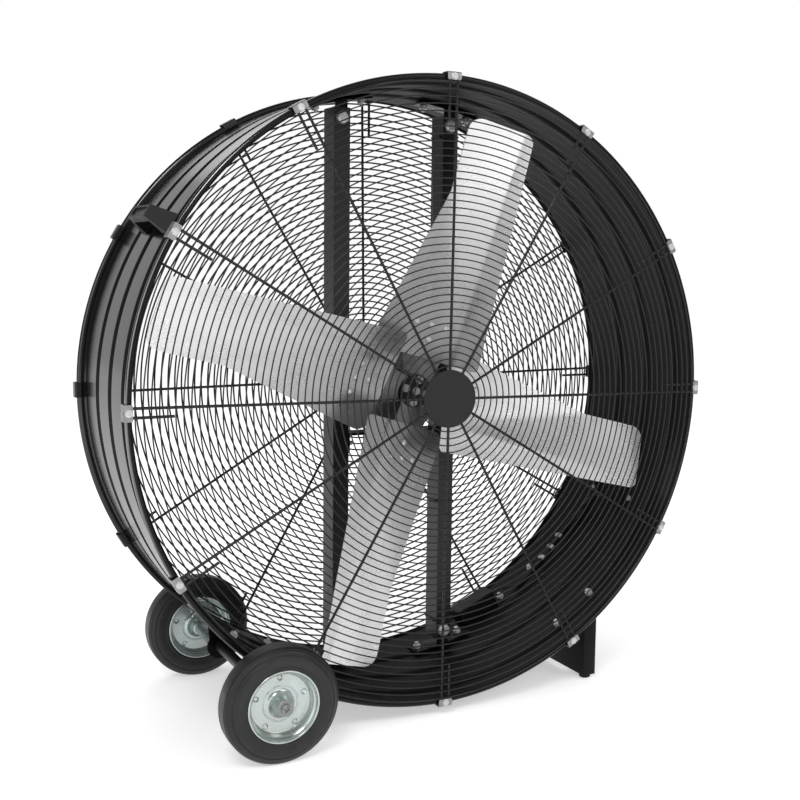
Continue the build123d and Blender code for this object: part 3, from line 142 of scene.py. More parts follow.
class Finish(Shading):
    # a material built round one Principled shader; fixed holds its plain numbers
    def __init__(self, name, **fixed):
        self.material = bpy.data.materials.new(name)
        self.material.use_nodes = True
        super().__init__(self.material.node_tree)
        self.shader = self.tree.nodes.new("ShaderNodeBsdfPrincipled")
        self.output = self.tree.nodes.new("ShaderNodeOutputMaterial")
        self.tree.links.new(self.shader.outputs[0], self.output.inputs["Surface"])
        for socket, value in fixed.items():
            self.shader.inputs[socket.replace("_", " ")].default_value = value

    def place(self, stretch=(1.0, 1.0, 1.0), own=None):
        # Object coordinates in metres, or the piece's own map, stretched
        source = self.node("UVMap", dict(uv_map=own)) if own else self.node("TexCoord", output="Object")
        return self.node("Mapping", None, {"Vector": source, "Scale": stretch})

    def fromAxis(self, where):
        # how far a point lies from the fan's axis, root of x squared plus z squared, and its height over it
        across = self.part(where, "X")
        rise = self.part(where, "Z") - axisHeight * milli
        return (across * across + rise * rise) ** 0.5, rise

    def set(self, socket, value):
        # links a value to a socket of the shader
        self.tree.links.new(value.socket, self.shader.inputs[socket])

    def bump(self, height, strength, distance):
        # a height field pushed into the normals
        self.set("Normal", self.node("Bump", None, {"Height": height, "Strength": strength,
                                                    "Distance": distance}))


# how far each finish's bump reaches, in metres
bumpReach = dict(paint=0.0006, metal=0.0004, sheet=0.0008, crystal=0.0003, rubber=0.0005, sheath=0.0003)


def tone(value, tint=(1.0, 1.0, 1.0)):
    # one grey, each colour times its tint
    return (value * tint[0], value * tint[1], value * tint[2], 1.0)


def paintFinish(name, paint):
    # satin coat: orange-peel bump, faint cloudy dust and a little change of gloss
    made = Finish(name, Specular_IOR_Level=paint["shine"])
    where = made.place()
    clouds = made.noise(where, paint["cloud"], 4.0)
    dust = made.ramp(clouds, 0.45, 0.75)
    made.set("Base Color", made.blend(dust, tone(paint["tone"]), tone(paint["dusty"])))
    made.set("Roughness", made.ramp(clouds, 0.3, 0.7, paint["gloss"] - 0.04, paint["gloss"] + 0.05))
    made.bump(made.noise(where, paint["peel"], 2.0), paint["bump"], bumpReach["paint"])
    return made.material


drumCoat = dict(shine=0.19, cloud=6.0, drift=0.06, peel=420.0, bump=0.02, sheetMiddle=(0.5580, 0.5584),
                inside=dict(tone=0.0042, gloss=0.5), outside=dict(tone=0.0062, gloss=0.17),
                lacquer=dict(gloss=0.12, strength=2.5, beads=(0.5645, 0.566),
                             rearwards=(-0.1, 0.1, 1.0, 0.25), upwards=(-0.3, -0.05, 0.15, 1.0)))


def drumFinish():
    # the sheet's middle radius parts a glossy outside from a matt inside whose darker tone is painted shade;
    # the beads, past a radius of their own, wear a lacquer that thins towards the rear and towards the floor
    inside, outside, lacquer = drumCoat["inside"], drumCoat["outside"], drumCoat["lacquer"]
    made = Finish("drumPaint", Specular_IOR_Level=drumCoat["shine"], Coat_Roughness=lacquer["gloss"],
                  Coat_IOR=lacquer["strength"])
    where = made.place()
    radius, rise = made.fromAxis(where)
    share = made.ramp(radius, *drumCoat["sheetMiddle"])
    clouds = made.noise(where, drumCoat["cloud"], 4.0)
    # painted shade: the same black paint gets a darker tone on the drum's inside
    made.set("Base Color", made.blend(share, tone(inside["tone"]), tone(outside["tone"])))
    gloss = made.ramp(share, 0.0, 1.0, inside["gloss"], outside["gloss"])
    made.set("Roughness", gloss + clouds * drumCoat["drift"])
    thick = made.ramp(made.part(where, "Y"), *lacquer["rearwards"]) * made.ramp(rise, *lacquer["upwards"])
    made.set("Coat Weight", made.ramp(radius, *lacquer["beads"]) * thick)
    made.bump(made.noise(where, drumCoat["peel"], 2.0), drumCoat["bump"], bumpReach["paint"])
    return made.material


def metalFinish(name, metal):
    # bare or plated metal: six parts of cloud and four of fine scratches blend a dark and a light tone, and
    # the scratches and clouds together change the gloss
    made = Finish(name, Metallic=metal.get("metal", 1.0))
    where = made.place()
    clouds = made.noise(where, metal["cloud"], 4.0)
    scratches = made.noise(made.place(metal["grain"]), 1.0, 3.0, 0.7)
    share = made.ramp(clouds * 0.6 + scratches * 0.4, 0.3, 0.7)
    made.set("Base Color", made.blend(share, tone(metal["dark"], metal.get("warm", metal["tint"])),
                                      tone(metal["light"], metal["tint"])))
    made.set("Roughness", made.ramp(scratches + clouds, 0.6, 1.4, metal["rough"][0], metal["rough"][1]))
    made.bump(scratches, metal["bump"], bumpReach["metal"])
    return made.material


bladeRolled = dict(metal=0.8, bands=(3.0, 34.0, 1.0), marks=(11.0, 11.0, 1.0), bandShare=0.16, markShare=0.2,
                   outwards=(0.12, 0.5, 0.0, 0.64), spread=(0.14, 0.86), dark=0.34, light=0.95,
                   tint=(1.0, 1.0, 1.01), gloss=(0.24, 0.32), bump=0.03)


def bladeFinish():
    # rolled sheet: shares of bands along the blade and of handling marks are added to a painted shade, dark
    # at the root and rising to light at the tip, and their sum blends a dark and a light tone
    rolled = bladeRolled
    made = Finish("bladeSheet", Metallic=rolled["metal"])
    bands = made.noise(made.place(rolled["bands"], own="blade"), 1.0, 4.0)
    marks = made.noise(made.place(rolled["marks"], own="blade"), 1.0, 3.0)
    # painted shade: the blade is coloured darker at its root and lighter towards its tip
    outwards = made.ramp(made.part(made.place(own="blade"), "X"), *rolled["outwards"])
    share = made.ramp(bands * rolled["bandShare"] + marks * rolled["markShare"] + outwards, *rolled["spread"])
    made.set("Base Color", made.blend(share, tone(rolled["dark"], rolled["tint"]), tone(rolled["light"])))
    made.set("Roughness", made.ramp(marks, 0.35, 0.65, *rolled["gloss"]))
    made.bump(bands, rolled["bump"], bumpReach["sheet"])
    return made.material


hubZinc = dict(metal=0.6, crystals=130.0, cloud=30.0, boss=(0.031, 0.033), bossTone=0.012, dark=0.13,
               light=0.2, tint=(0.98, 1.0, 1.02), gloss=(0.36, 0.56), bump=0.04)


def spangleFinish():
    # the hub's zinc: angular crystals on its arms that each hold the light differently, and near the axis a
    # near-black painted shade
    made = Finish("galvanised", Metallic=hubZinc["metal"])
    where = made.place()
    cells = {"Vector": where, "Scale": hubZinc["crystals"]}
    crystal = made.node("TexVoronoi", dict(feature="F1"), cells, output="Color")
    grey = made.node("RGBToBW", None, {0: crystal})
    cloud = made.noise(where, hubZinc["cloud"], 4.0)
    # painted shade: the hub turns near-black within 31 to 33 mm of the axis
    arms = made.ramp(made.fromAxis(where)[0], *hubZinc["boss"])
    sheet = made.blend(grey, tone(hubZinc["dark"]), tone(hubZinc["light"], hubZinc["tint"]))
    made.set("Base Color", made.blend(arms, tone(hubZinc["bossTone"]), sheet))
    made.set("Roughness", made.ramp(grey * 0.5 + cloud * 0.5, 0.2, 0.8, *hubZinc["gloss"]))
    made.bump(grey, hubZinc["bump"], bumpReach["crystal"])
    return made.material


def rubberFinish(name, rubber):
    # matt moulded rubber: grey bloom in soft patches and a fine grain
    made = Finish(name, Specular_IOR_Level=rubber["shine"])
    where = made.place()
    bloom = made.noise(where, rubber["cloud"], 5.0, 0.6)
    share = made.ramp(bloom, 0.4, 0.7)
    made.set("Base Color", made.blend(share, tone(rubber["tone"]), tone(rubber["bloom"])))
    made.set("Roughness", made.ramp(bloom, 0.3, 0.7, rubber["gloss"] - 0.06, rubber["gloss"] + 0.08))
    made.bump(made.noise(where, rubber["grain"], 3.0), rubber["bump"], bumpReach["rubber"])
    return made.material


sheath = dict(shine=0.35, smudge=90.0, gloss=(0.42, 0.58), grain=1500.0, bump=0.08,
              stripes=(260.0, 260.0, 6.0), green=(0.03, 0.2, 0.04, 1.0), yellow=(0.62, 0.5, 0.03, 1.0))


def sheathFinish(name, dark, light):
    # soft cable cover: even colour with slight smudges
    made = Finish(name, Specular_IOR_Level=sheath["shine"])
    where = made.place()
    smudge = made.noise(where, sheath["smudge"], 3.0)
    made.set("Base Color", made.blend(made.ramp(smudge, 0.4, 0.7), tone(dark), tone(light)))
    made.set("Roughness", made.ramp(smudge, 0.3, 0.7, *sheath["gloss"]))
    made.bump(made.noise(where, sheath["grain"], 2.0), sheath["bump"], bumpReach["sheath"])
    return made.material


def earthFinish():
    # green cover with yellow streaks along it, wherever a stretched noise is over a half
    made = Finish("earthSheath", Specular_IOR_Level=sheath["shine"])
    across = made.part(made.place(), "X")
    stripe = made.noise(made.place(sheath["stripes"]), 1.0, 0.0)
    made.set("Base Color", made.blend(made.ramp(stripe, 0.5, 0.52), sheath["green"], sheath["yellow"]))
    made.set("Roughness", made.ramp(across * 40.0 + stripe, 0.0, 6.0, 0.45, 0.5))
    return made.material


# each slot of the record, and the finishes of this script's own, with grains in cycles a metre
finishes = dict(
    black_paint=paintFinish("blackPaint", dict(tone=0.0055, dusty=0.0075, cloud=6.0, gloss=0.26, shine=0.07,
                                               peel=420.0, bump=0.02)),
    post_paint=paintFinish("postPaint", dict(tone=0.014, dusty=0.02, cloud=6.0, gloss=0.3, shine=0.35,
                                             peel=420.0, bump=0.02)),
    drum_paint=drumFinish(),
    wire_paint=paintFinish("wirePaint", dict(tone=0.009, dusty=0.012, cloud=22.0, gloss=0.3, shine=0.4,
                                             peel=700.0, bump=0.02)),
    cap_paint=paintFinish("capPaint", dict(tone=0.024, dusty=0.028, cloud=14.0, gloss=0.5, shine=0.15,
                                           peel=900.0, bump=0.04)),
    galvanised=spangleFinish(),
    plate_zinc=metalFinish("plateZinc", dict(cloud=90.0, grain=(700.0, 700.0, 120.0), dark=0.24, light=0.36,
                                             tint=(0.99, 1.0, 1.01), rough=(0.34, 0.5), bump=0.08,
                                             metal=0.7)),
    zinc=metalFinish("zinc", dict(cloud=140.0, grain=(900.0, 900.0, 90.0), dark=0.55, light=0.76,
                                  tint=(0.99, 1.0, 1.02), rough=(0.26, 0.4), bump=0.06, metal=0.5)),
    rim_zinc=metalFinish("rimZinc", dict(cloud=14.0, grain=(160.0, 60.0, 160.0), dark=0.48, light=0.68,
                                         tint=(0.84, 1.0, 1.03), warm=(1.0, 1.0, 0.9), rough=(0.2, 0.28),
                                         bump=0.02, metal=0.82)),
    blade_aluminium=bladeFinish(),
    tyre_rubber=rubberFinish("tyreRubber", dict(tone=0.0105, bloom=0.021, cloud=28.0, gloss=0.42, shine=0.42,
                                                grain=900.0, bump=0.12)),
    foot_rubber=rubberFinish("footRubber", dict(tone=0.014, bloom=0.024, cloud=60.0, gloss=0.74, shine=0.25,
                                                grain=1200.0, bump=0.12)),
    moulded_black=rubberFinish("mouldedBlack", dict(tone=0.0055, bloom=0.0085, cloud=40.0, gloss=0.42,
                                                    shine=0.22, grain=2200.0, bump=0.2)),
    cable_sheath=sheathFinish("cableSheath", 0.012, 0.022),
    earth_sheath=earthFinish(),
    tie_nylon=sheathFinish("tieNylon", 0.014, 0.02),
    axle_steel=metalFinish("axleSteel", dict(cloud=50.0, grain=(30.0, 1400.0, 30.0), dark=0.42, light=0.62,
                                             tint=(1.0, 1.0, 1.0), rough=(0.22, 0.36), bump=0.05)),
    cast_alloy=metalFinish("castAlloy", dict(cloud=60.0, grain=(260.0, 260.0, 260.0), dark=0.3, light=0.44,
                                             tint=(1.0, 1.0, 1.01), rough=(0.44, 0.62), bump=0.25)),
    lamination=metalFinish("lamination", dict(cloud=40.0, grain=(4.0, 2000.0, 4.0), dark=0.16, light=0.34,
                                              tint=(1.0, 0.99, 0.98), rough=(0.4, 0.6), bump=0.3)),
    copper=metalFinish("copper", dict(cloud=60.0, grain=(900.0, 60.0, 900.0), dark=0.5, light=0.8,
                                      tint=(1.0, 0.55, 0.34), rough=(0.28, 0.44), bump=0.2)),
)
print("finishes made:", len(finishes))


def surface(points, ring=True):
    # quads over a grid of points whose last column joins its first; a ring's last row joins its first as well
    rows, columns = points.shape[:2]
    u = np.arange(rows if ring else rows - 1)[:, None]
    v = np.arange(columns)[None]
    nextU, nextV = (u + 1) % rows, (v + 1) % columns
    quads = np.stack(np.broadcast_arrays(u * columns + v, nextU * columns + v,
                                         nextU * columns + nextV, u * columns + nextV), -1)
    quads = quads.reshape(-1, 4)
    corners = points.reshape(-1, 3)
    p = corners[quads] - corners.mean(0)
    # six times the closed surface's volume; below nothing, the faces look inwards
    volume = np.sum(p[:, 0] * np.cross(p[:, 1], p[:, 2])) + np.sum(p[:, 0] * np.cross(p[:, 2], p[:, 3]))
    return corners, quads if volume > 0 else quads[:, ::-1]


def addPiece(name, surfaces, slot, body, stands, crease=32.0, own=None, finish=None):
    # joins closed surfaces into one mesh, welds poles and seams, and puts it on its body
    corners, quads, start = [], [], 0
    for points, faces in surfaces:
        corners.append(points)
        quads.append(faces + start)
        start += len(points)
    corners, quads = np.concatenate(corners) * milli, np.concatenate(quads)
    mesh = bpy.data.meshes.new(name)
    mesh.from_pydata(corners, [], quads)
    if own is not None:
        layer = mesh.uv_layers.new(name=own[0])
        layer.data.foreach_set("uv", (own[1] * milli)[quads.ravel()].ravel())
    finishPiece(name, mesh, slot, body, stands, crease, finish=finish)


softEdge = dict(angle=40.0, segments=2, crease=32.0)


def finishPiece(name, mesh, slot, body, stands, crease, bevel=0.0, finish=None):
    # merges doubles, smooths up to the crease's angle, bevels by so many millimetres and rides on the body
    work = bmesh.new()
    work.from_mesh(mesh)
    bmesh.ops.remove_doubles(work, verts=work.verts, dist=1e-6)
    work.to_mesh(mesh)
    work.free()
    mesh.shade_smooth()
    mesh.set_sharp_from_angle(angle=radians(crease))
    piece = bpy.data.objects.new(name, mesh)
    bpy.context.scene.collection.objects.link(piece)
    mesh.materials.clear()
    mesh.materials.append(finishes[finish or slot])
    if bevel:
        edge = piece.modifiers.new("softEdges", "BEVEL")
        edge.width = bevel * milli
        edge.segments = softEdge["segments"]
        edge.limit_method = "ANGLE"
        edge.angle_limit = radians(softEdge["angle"])
        edge.harden_normals = True
    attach(piece, body)
    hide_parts(*stands)


def softened(node, slot, body, bevel, finish=None):
    # the node's own shape with its sharp edges rounded over by a fraction of a millimetre
    mesh = nodes[node].data.copy()
    mesh.materials.clear()
    finishPiece("soft_" + node, mesh, slot, body, [node], softEdge["crease"], bevel, finish)


def arc(middle, radius, start, end, count, ends=True):
    # middle + radius * (cos t, sin t), t from start to end in degrees
    t = np.radians(np.linspace(start, end, count, endpoint=ends))
    return np.stack([middle[0] + radius * np.cos(t), middle[1] + radius * np.sin(t)], -1)


def revolve(profile, count, middle=(0.0, 0.0)):
    # (r, y) turned round a line along Y: x = r cos a, z = r sin a
    a = np.linspace(0, 2 * pi, count, endpoint=False)
    r, y = profile[:, 0, None], profile[:, 1, None]
    return np.stack([middle[0] + r * np.cos(a), y + 0 * a, middle[1] + r * np.sin(a)], -1)


def tube(path, radius, sides):
    # a circle carried along a path, square to it: p + radius (cos t side + sin t rise), where side is square
    # to the way ahead and to Y
    path = np.asarray(path, float)
    ahead = np.gradient(path, axis=0)
    ahead /= np.linalg.norm(ahead, axis=1)[:, None]
    side = np.cross(ahead, (0.0, 1.0, 0.0))
    side /= np.linalg.norm(side, axis=1)[:, None]
    rise = np.cross(side, ahead)
    t = np.linspace(0, 2 * pi, sides, endpoint=False)[None, :, None]
    ring = path[:, None] + radius * (np.cos(t) * side[:, None] + np.sin(t) * rise[:, None])
    ends = [np.repeat(path[k][None, None], sides, 1) for k in (0, -1)]
    return np.concatenate([ends[0], ring, ends[1]], 0)


def turnedTo(points, angle, side=-1):
    # a shape drawn at angle nought about the fan axis, turned to its place; side 1 is the rear
    if side > 0:
        points = points * (-1.0, -1.0, 1.0)
    c, s = cos(radians(angle)), sin(radians(angle))
    x, y, z = points[..., 0], points[..., 1], points[..., 2]
    return np.stack([x * c - z * s, y, x * s + z * c], -1)


def roundTheAxis(points, side):
    # the same shape at each of the guard's spokes
    return [turnedTo(points, step * 360 / guard["count"], side) for step in range(guard["count"])]


def raised(points):
    # from round the fan axis up to its height
    return points + (0.0, 0.0, axisHeight)


# radii of the skin and of the beads' middles, and the turns of each bead in degrees
drum = dict(halfDepth=178.0, skin=559.0, sheet=1.5, grooves=(-130.0, -35.0, 60.0), grooveWidth=27.0,
            grooveDepth=5.0, lip=(-1.4, -0.5, 0.0, 0.5), flare=22.0, flareOut=5.5, bead=7.0, rearBead=564.5,
            rearTurn=(-94.0, 252.0), frontBead=562.4, frontRadius=5.6, frontTurn=(151.0, 487.0),
            frontFlat=8.0, beadSteps=26, around=320)


def drumLine(y, shift):
    # skin less root of (bow^2 - d^2) less (bow - depth) in each groove, and a straight flare at the rear
    g = drum["grooveDepth"]
    half = drum["grooveWidth"] / 2
    bow = (half * half + g * g) / (2 * g)
    r = np.full_like(y, drum["skin"] - shift)
    for middle in drum["grooves"]:
        d = np.clip(np.abs(y - middle), 0, half)
        r -= np.sqrt(bow * bow - d * d) - (bow - g)
    out = np.clip((y - drum["halfDepth"] + drum["flare"]) / drum["flare"], 0, 1)
    return r + drum["flareOut"] * out


def makeDrum():
    # one closed section: outer line, rear bead, inner line, front bead, turned round the fan axis
    half, bead, steps = drum["halfDepth"], drum["bead"], drum["beadSteps"]
    reach = drum["grooveWidth"] / 2
    lip, start = np.array(drum["lip"]), half - drum["flare"]
    places = [np.linspace(middle - reach, middle + reach, 13) for middle in drum["grooves"]]
    places += [middle + sign * (reach - lip) for middle in drum["grooves"] for sign in (-1, 1)]
    places += [start - lip, np.linspace(start, half - bead, 3)]
    places += [np.linspace(bead - half, bead + drum["frontFlat"] - half, 3)]
    y = np.unique(np.concatenate(places))
    outer = np.stack([drumLine(y, 0.0), y], -1)
    inner = np.stack([drumLine(y, drum["sheet"]), y], -1)[::-1]
    rear = arc((drum["rearBead"], half), bead, *drum["rearTurn"], steps)
    small = drum["frontRadius"]
    front = arc((drum["frontBead"], small - bead - half), small, *drum["frontTurn"], steps)
    section = np.concatenate([outer, rear, inner, front])
    skin = surface(revolve(section, drum["around"], (0.0, axisHeight)))
    addPiece("drumSkin", [skin], "black_paint", "frame", ["drum"], 30.0, finish="drum_paint")


# rings by their middle radii and wires by half their thickness; circle is where the hairpins turn back
guard = dict(outer=554.4, pitch=12.7, inner=58.6, wire=dict(front=1.2, rear=1.6), sides=8, wide=300.0,
             aroundWide=240, aroundSmall=150, spoke=2.5, spokeSides=10, spokeY=-187.52, count=12,
             circle=562.0, leg=7.5, ease=2.0, stub=70.0, start=40.0, lean=0.6)


def makeGuard(side, name):
    # flat rings in front of hairpin spokes; each hairpin bends round its clamp's screw
    wires, wire = [], guard["wire"][name]
    ringY = guard["spokeY"] - guard["spoke"] - wire
    flat = 180.0 / guard["sides"]
    for radius in np.arange(guard["outer"], guard["inner"], -guard["pitch"]):
        section = arc((radius, ringY), wire, flat, flat + 360.0, guard["sides"], False)
        ring = revolve(section, guard["aroundWide"] if radius > guard["wide"] else guard["aroundSmall"])
        wires.append(surface(raised(turnedTo(ring, 0.0, side))))
    leg, circle, ease = guard["leg"], guard["circle"], guard["ease"]
    bend = arc((circle, 0.0), leg, -90.0, 90.0, 13)
    long = np.stack([np.linspace(guard["start"], circle - ease, 4), np.linspace(-guard["lean"], -leg, 4)], -1)
    short = np.stack([np.linspace(circle - ease, circle - guard["stub"], 3), np.full(3, leg)], -1)
    line = np.concatenate([long, bend, short])
    path = np.stack([line[:, 0], np.full(len(line), guard["spokeY"]), line[:, 1]], -1)
    hairpin = tube(path, guard["spoke"], guard["spokeSides"])
    wires += [surface(raised(points), False) for points in roundTheAxis(hairpin, side)]
    addPiece(name + "Wires", wires, "wire_paint", "frame", [name + "_guard"], 60.0)


cap = dict(radius=52.0, thick=2.5, face=-190.04, edge=1.5, dish=0.35)


def makeCap(side, name):
    # a round cover with a rolled edge and a barely sunk middle: y = face - thick + dish (1 - (r/R)^2)
    radius, thick, edge = cap["radius"], cap["thick"], cap["edge"]
    front = cap["face"] - thick
    r = np.linspace(0, radius - edge, 14)
    flat = np.stack([r, front + cap["dish"] * (1 - (r / (radius - edge)) ** 2)], -1)
    roll = arc((radius - edge, front + edge), edge, -90.0, 0.0, 7)
    back = np.array([(radius, cap["face"]), (radius * 0.5, cap["face"]), (0.0, cap["face"])])
    section = np.concatenate([flat, roll[1:], back])
    points = raised(turnedTo(revolve(section, 96), 0.0, side))
    addPiece(name + "CapDisc", [surface(points, False)], "cap_paint", "frame", [name + "_guard_cap"], 40.0)


# reaches from the fan axis, depths along it, and the turn of each screw from its neighbour in degrees
clamp = dict(width=27.0, sheet=1.5, inner=557.5, outer=dict(front=571.5, rear=575.5), face=-190.04,
             hook=-169.0, hookIn=565.0, bend=1.9, bendSteps=5, corner=3.0, cornerSteps=6, screwAt=563.5,
             head=6.4, headHigh=3.4, crossDeep=1.1, shank=2.4, long=17.0, turn=37.0, turnBySide=11.0,
             slots=dict(front=("zinc", "plate_zinc"), rear=("black_paint", "post_paint")))


def roundedLine(corners, radius):
    # straight runs whose inner corners are cut by a bend: a (1-t)^2 + 2 corner t (1-t) + b t^2
    corners = [np.array(c, float) for c in corners]
    line = [corners[0][None]]
    for before, here, after in zip(corners, corners[1:], corners[2:]):
        a = here + (before - here) / np.linalg.norm(before - here) * radius
        b = here + (after - here) / np.linalg.norm(after - here) * radius
        t = np.linspace(0, 1, clamp["bendSteps"])[:, None]
        line.append(a * (1 - t) ** 2 + 2 * here * t * (1 - t) + b * t ** 2)
    line.append(corners[-1][None])
    return np.concatenate(line)


def strip(line, thick, width, corner):
    # a sheet of one thickness that follows a bent line, half a width to each side; within a corner's radius
    # R of an end it narrows by R - root of (R^2 - rest^2)
    run = np.concatenate([[0], np.cumsum(np.linalg.norm(np.diff(line, axis=0), axis=1))])
    near = corner * (1 - np.cos(np.linspace(0, pi / 2, clamp["cornerSteps"])))
    finer = np.unique(np.round(np.concatenate([run, near, run[-1] - near]), 4))
    low, run = np.stack([np.interp(finer, run, line[:, k]) for k in (0, 1)], -1), finer
    ahead = np.gradient(low, run, axis=0)
    ahead /= np.linalg.norm(ahead, axis=1)[:, None]
    away = np.stack([-ahead[:, 1], ahead[:, 0]], -1)
    rest = np.clip(corner - np.minimum(run, run[-1] - run), 0, corner)
    half = width / 2 - (corner - np.sqrt(np.clip(corner ** 2 - rest ** 2, 0, None)))
    high = low + away * thick
    loop = []
    for edge, base in ((-1, low), (-1, high), (1, high), (1, low)):
        loop.append(np.stack([base[:, 0], base[:, 1], edge * half], -1))
    loop = np.stack(loop, 1)
    ends = [np.repeat(loop[k].mean(0)[None, None], 4, 1) for k in (0, -1)]
    return np.concatenate([ends[0], loop, ends[1]], 0)


# shares of a pan head's radius or height, and the turn of its cross in degrees
panHead = dict(brim=0.96, brimFrom=0.16, brimHigh=0.22, wall=0.86, crown=0.3, swell=0.8, crossTurn=20.0,
               crossHalf=0.17, crossLong=0.55, crossFrom=0.9)


def screwHead(depth, radius, high):
    # a pan head on its own brim: radius (wall - crown t^3) out, high (brimHigh + (1 - brimHigh) sine of a
    # quarter turn t to the power swell) up, with a cross pressed in
    head = panHead
    t = np.linspace(0, 1, 9)
    swell = head["brimHigh"] + (1 - head["brimHigh"]) * np.sin(t * pi / 2) ** head["swell"]
    side = np.stack([radius * (head["wall"] - head["crown"] * t ** 3), -high * swell], -1)
    brim = np.array([(radius, 0.0), (radius, -high * head["brimFrom"]),
                     (radius * head["brim"], -high * head["brimHigh"])])
    top = np.stack([np.linspace(side[-1, 0], 0, 9)[1:], np.full(8, -high)], -1)
    points = revolve(np.concatenate([[(0.0, 0.0)], brim, side, top]), 48)
    x, y, z = points[..., 0], points[..., 1], points[..., 2]
    c, s = cos(radians(head["crossTurn"])), sin(radians(head["crossTurn"]))
    along, across = np.abs(x * c - z * s), np.abs(x * s + z * c)
    arms = (np.minimum(along, across) < radius * head["crossHalf"]) & (y < -high * head["crossFrom"])
    arms &= np.hypot(x, z) < radius * head["crossLong"]
    points[..., 1] = np.where(arms, y + depth, y)
    return points


def makeClamps(side, name):
    # a leaf on the hairpin that wraps over the bead and hooks in behind it
    sheet, face = clamp["sheet"], clamp["face"]
    outer, hook = clamp["outer"][name] - sheet, clamp["hook"] - sheet
    corners = [(clamp["inner"], face), (outer, face), (outer, hook), (clamp["hookIn"], hook)]
    plate = strip(roundedLine(corners, clamp["bend"]), -sheet, clamp["width"], clamp["corner"])
    clamps = [surface(raised(points), False) for points in roundTheAxis(plate, side)]
    slot, finish = clamp["slots"][name]
    addPiece(name + "ClampPlates", clamps, slot, "frame", [name + "_guard_clamps"], 34.0, finish=finish)


def makeClampScrews():
    # pan heads on the leaves, each turned a little differently, with their shanks behind
    surfaces = []
    head = screwHead(clamp["crossDeep"], clamp["head"], clamp["headHigh"])
    base = clamp["face"] - clamp["sheet"]
    t = np.array([0.0, 0.0, 1.0, 1.0])
    shank = np.stack([np.array([0.0, 1.0, 1.0, 0.0]) * clamp["shank"], t * clamp["long"]], -1)
    shank = revolve(shank, 16)
    for side in (-1, 1):
        for step in range(guard["count"]):
            for points in (head, shank):
                spun = turnedTo(points, clamp["turn"] * step + clamp["turnBySide"] * side)
                spun = turnedTo(spun + (clamp["screwAt"], base, 0.0), step * 360 / guard["count"], side)
                surfaces.append(surface(raised(spun), False))
    addPiece("clampScrews", surfaces, "zinc", "frame", ["guard_clamp_screws"], 38.0)


# u runs out from the fan axis, v from the trailing to the leading edge, pitches and leans are in degrees
blade = dict(count=4, phase=73.0, sheet=2.5, root=64.0, foldRoot=81.0, lead=103.0, trail=98.0, fold=46.5,
             kink=(376.0, 53.0), leadTip=(521.0, 60.0), trailTip=(522.0, 65.0), plane=133.0, rootPitch=20.0,
             rootLean=7.4, tipPitch=12.0, stripPitch=19.3, corners=(24.0, 10.0, 27.0, 17.0), rows=150,
             endRows=12, endReach=0.06, evenRows=0.65, trailColumns=16, leadColumns=40, trailShare=0.33,
             soft=2.4, foldSoft=1.1, mapStep=700.0)


def slopeOf(angle):
    # the rise over the run of one of the blade's angles
    return tan(radians(blade[angle]))


def bladeFrame(index):
    # a blade's ways out, across and forwards, turned about the fan axis by the phase and quarter turns
    a = radians(blade["phase"] + index * 360 / blade["count"])
    return np.array([[cos(a), 0.0, sin(a)], [-sin(a), 0.0, cos(a)], [0.0, -1.0, 0.0]])


def rootHeight(u, v):
    # how far the root panel stands before the fan's middle: a plane with a pitch in v and a lean in u
    depth = blade["plane"] + slopeOf("rootPitch") * v - slopeOf("rootLean") * u
    return drum["halfDepth"] - depth


def bladeHeight(u, v):
    # the lower of root panel and main panel, eased over; behind the fold, by a share of one over
    # (1 + e to the -(v - fold) / foldSoft), a strip falls away from the fold by a pitch of its own
    kinkU, kinkV = blade["kink"]
    foldU, fold = blade["foldRoot"], -blade["fold"]
    base = rootHeight(kinkU, kinkV)
    slope = -slopeOf("tipPitch")
    lean = (rootHeight(foldU, fold) - base - slope * (fold - kinkV)) / (foldU - kinkU)

    def tip(a, b):
        return base + slope * (b - kinkV) + lean * (a - kinkU)

    ahead = lowerOf(rootHeight(u, v), tip(u, v))
    behind = tip(u, fold) - slopeOf("stripPitch") * (v - fold)
    share = 1 / (1 + np.exp(-(v - fold) / blade["foldSoft"]))
    return ahead * share + behind * (1 - share)


def lowerOf(a, b):
    # half the sum less half the root of difference squared plus soft squared
    return 0.5 * (a + b - np.sqrt((a - b) ** 2 + blade["soft"] ** 2))


def bladeGrid():
    # rows run out from the root's edge to the slanted tip, columns across from the trailing edge; a corner of
    # radius R takes R - root of (R^2 - d^2) off its edge
    root, even = blade["root"], blade["evenRows"]
    (leadU, leadV), (trailU, trailV), (kinkU, kinkV) = blade["leadTip"], blade["trailTip"], blade["kink"]
    s = 0.5 - 0.5 * np.cos(np.linspace(0, pi, blade["rows"]))
    s = (1 - even) * s + even * np.linspace(0, 1, blade["rows"])
    near = np.linspace(0, 1, blade["endRows"]) ** 2 * blade["endReach"]
    s = np.unique(np.concatenate([s, 1 - near, near]))
    length = trailU - root
    lead = np.interp(s, [0, (kinkU - root) / length, 1], [blade["lead"], kinkV, leadV])
    trail = np.interp(s, [0, 1], [blade["trail"], trailV])
    for radius, at, edge in zip(blade["corners"], (0, 0, 1, 1), (0, 1, 0, 1)):
        d = np.clip(radius - np.abs(s - at) * length, 0, radius)
        cut = radius - np.sqrt(radius ** 2 - d ** 2)
        lead = lead - (cut if edge == 0 else 0)
        trail = trail - (cut if edge == 1 else 0)
    share = blade["trailShare"]
    t = np.concatenate([np.linspace(0, 1, blade["trailColumns"])[:-1] * share,
                        share + np.linspace(0, 1, blade["leadColumns"]) * (1 - share)])
    v = -trail[:, None] * (1 - t) + lead[:, None] * t
    tipU = np.interp(v, [-trailV, leadV], [trailU, leadU])
    return root + s[:, None] * (tipU - root), v


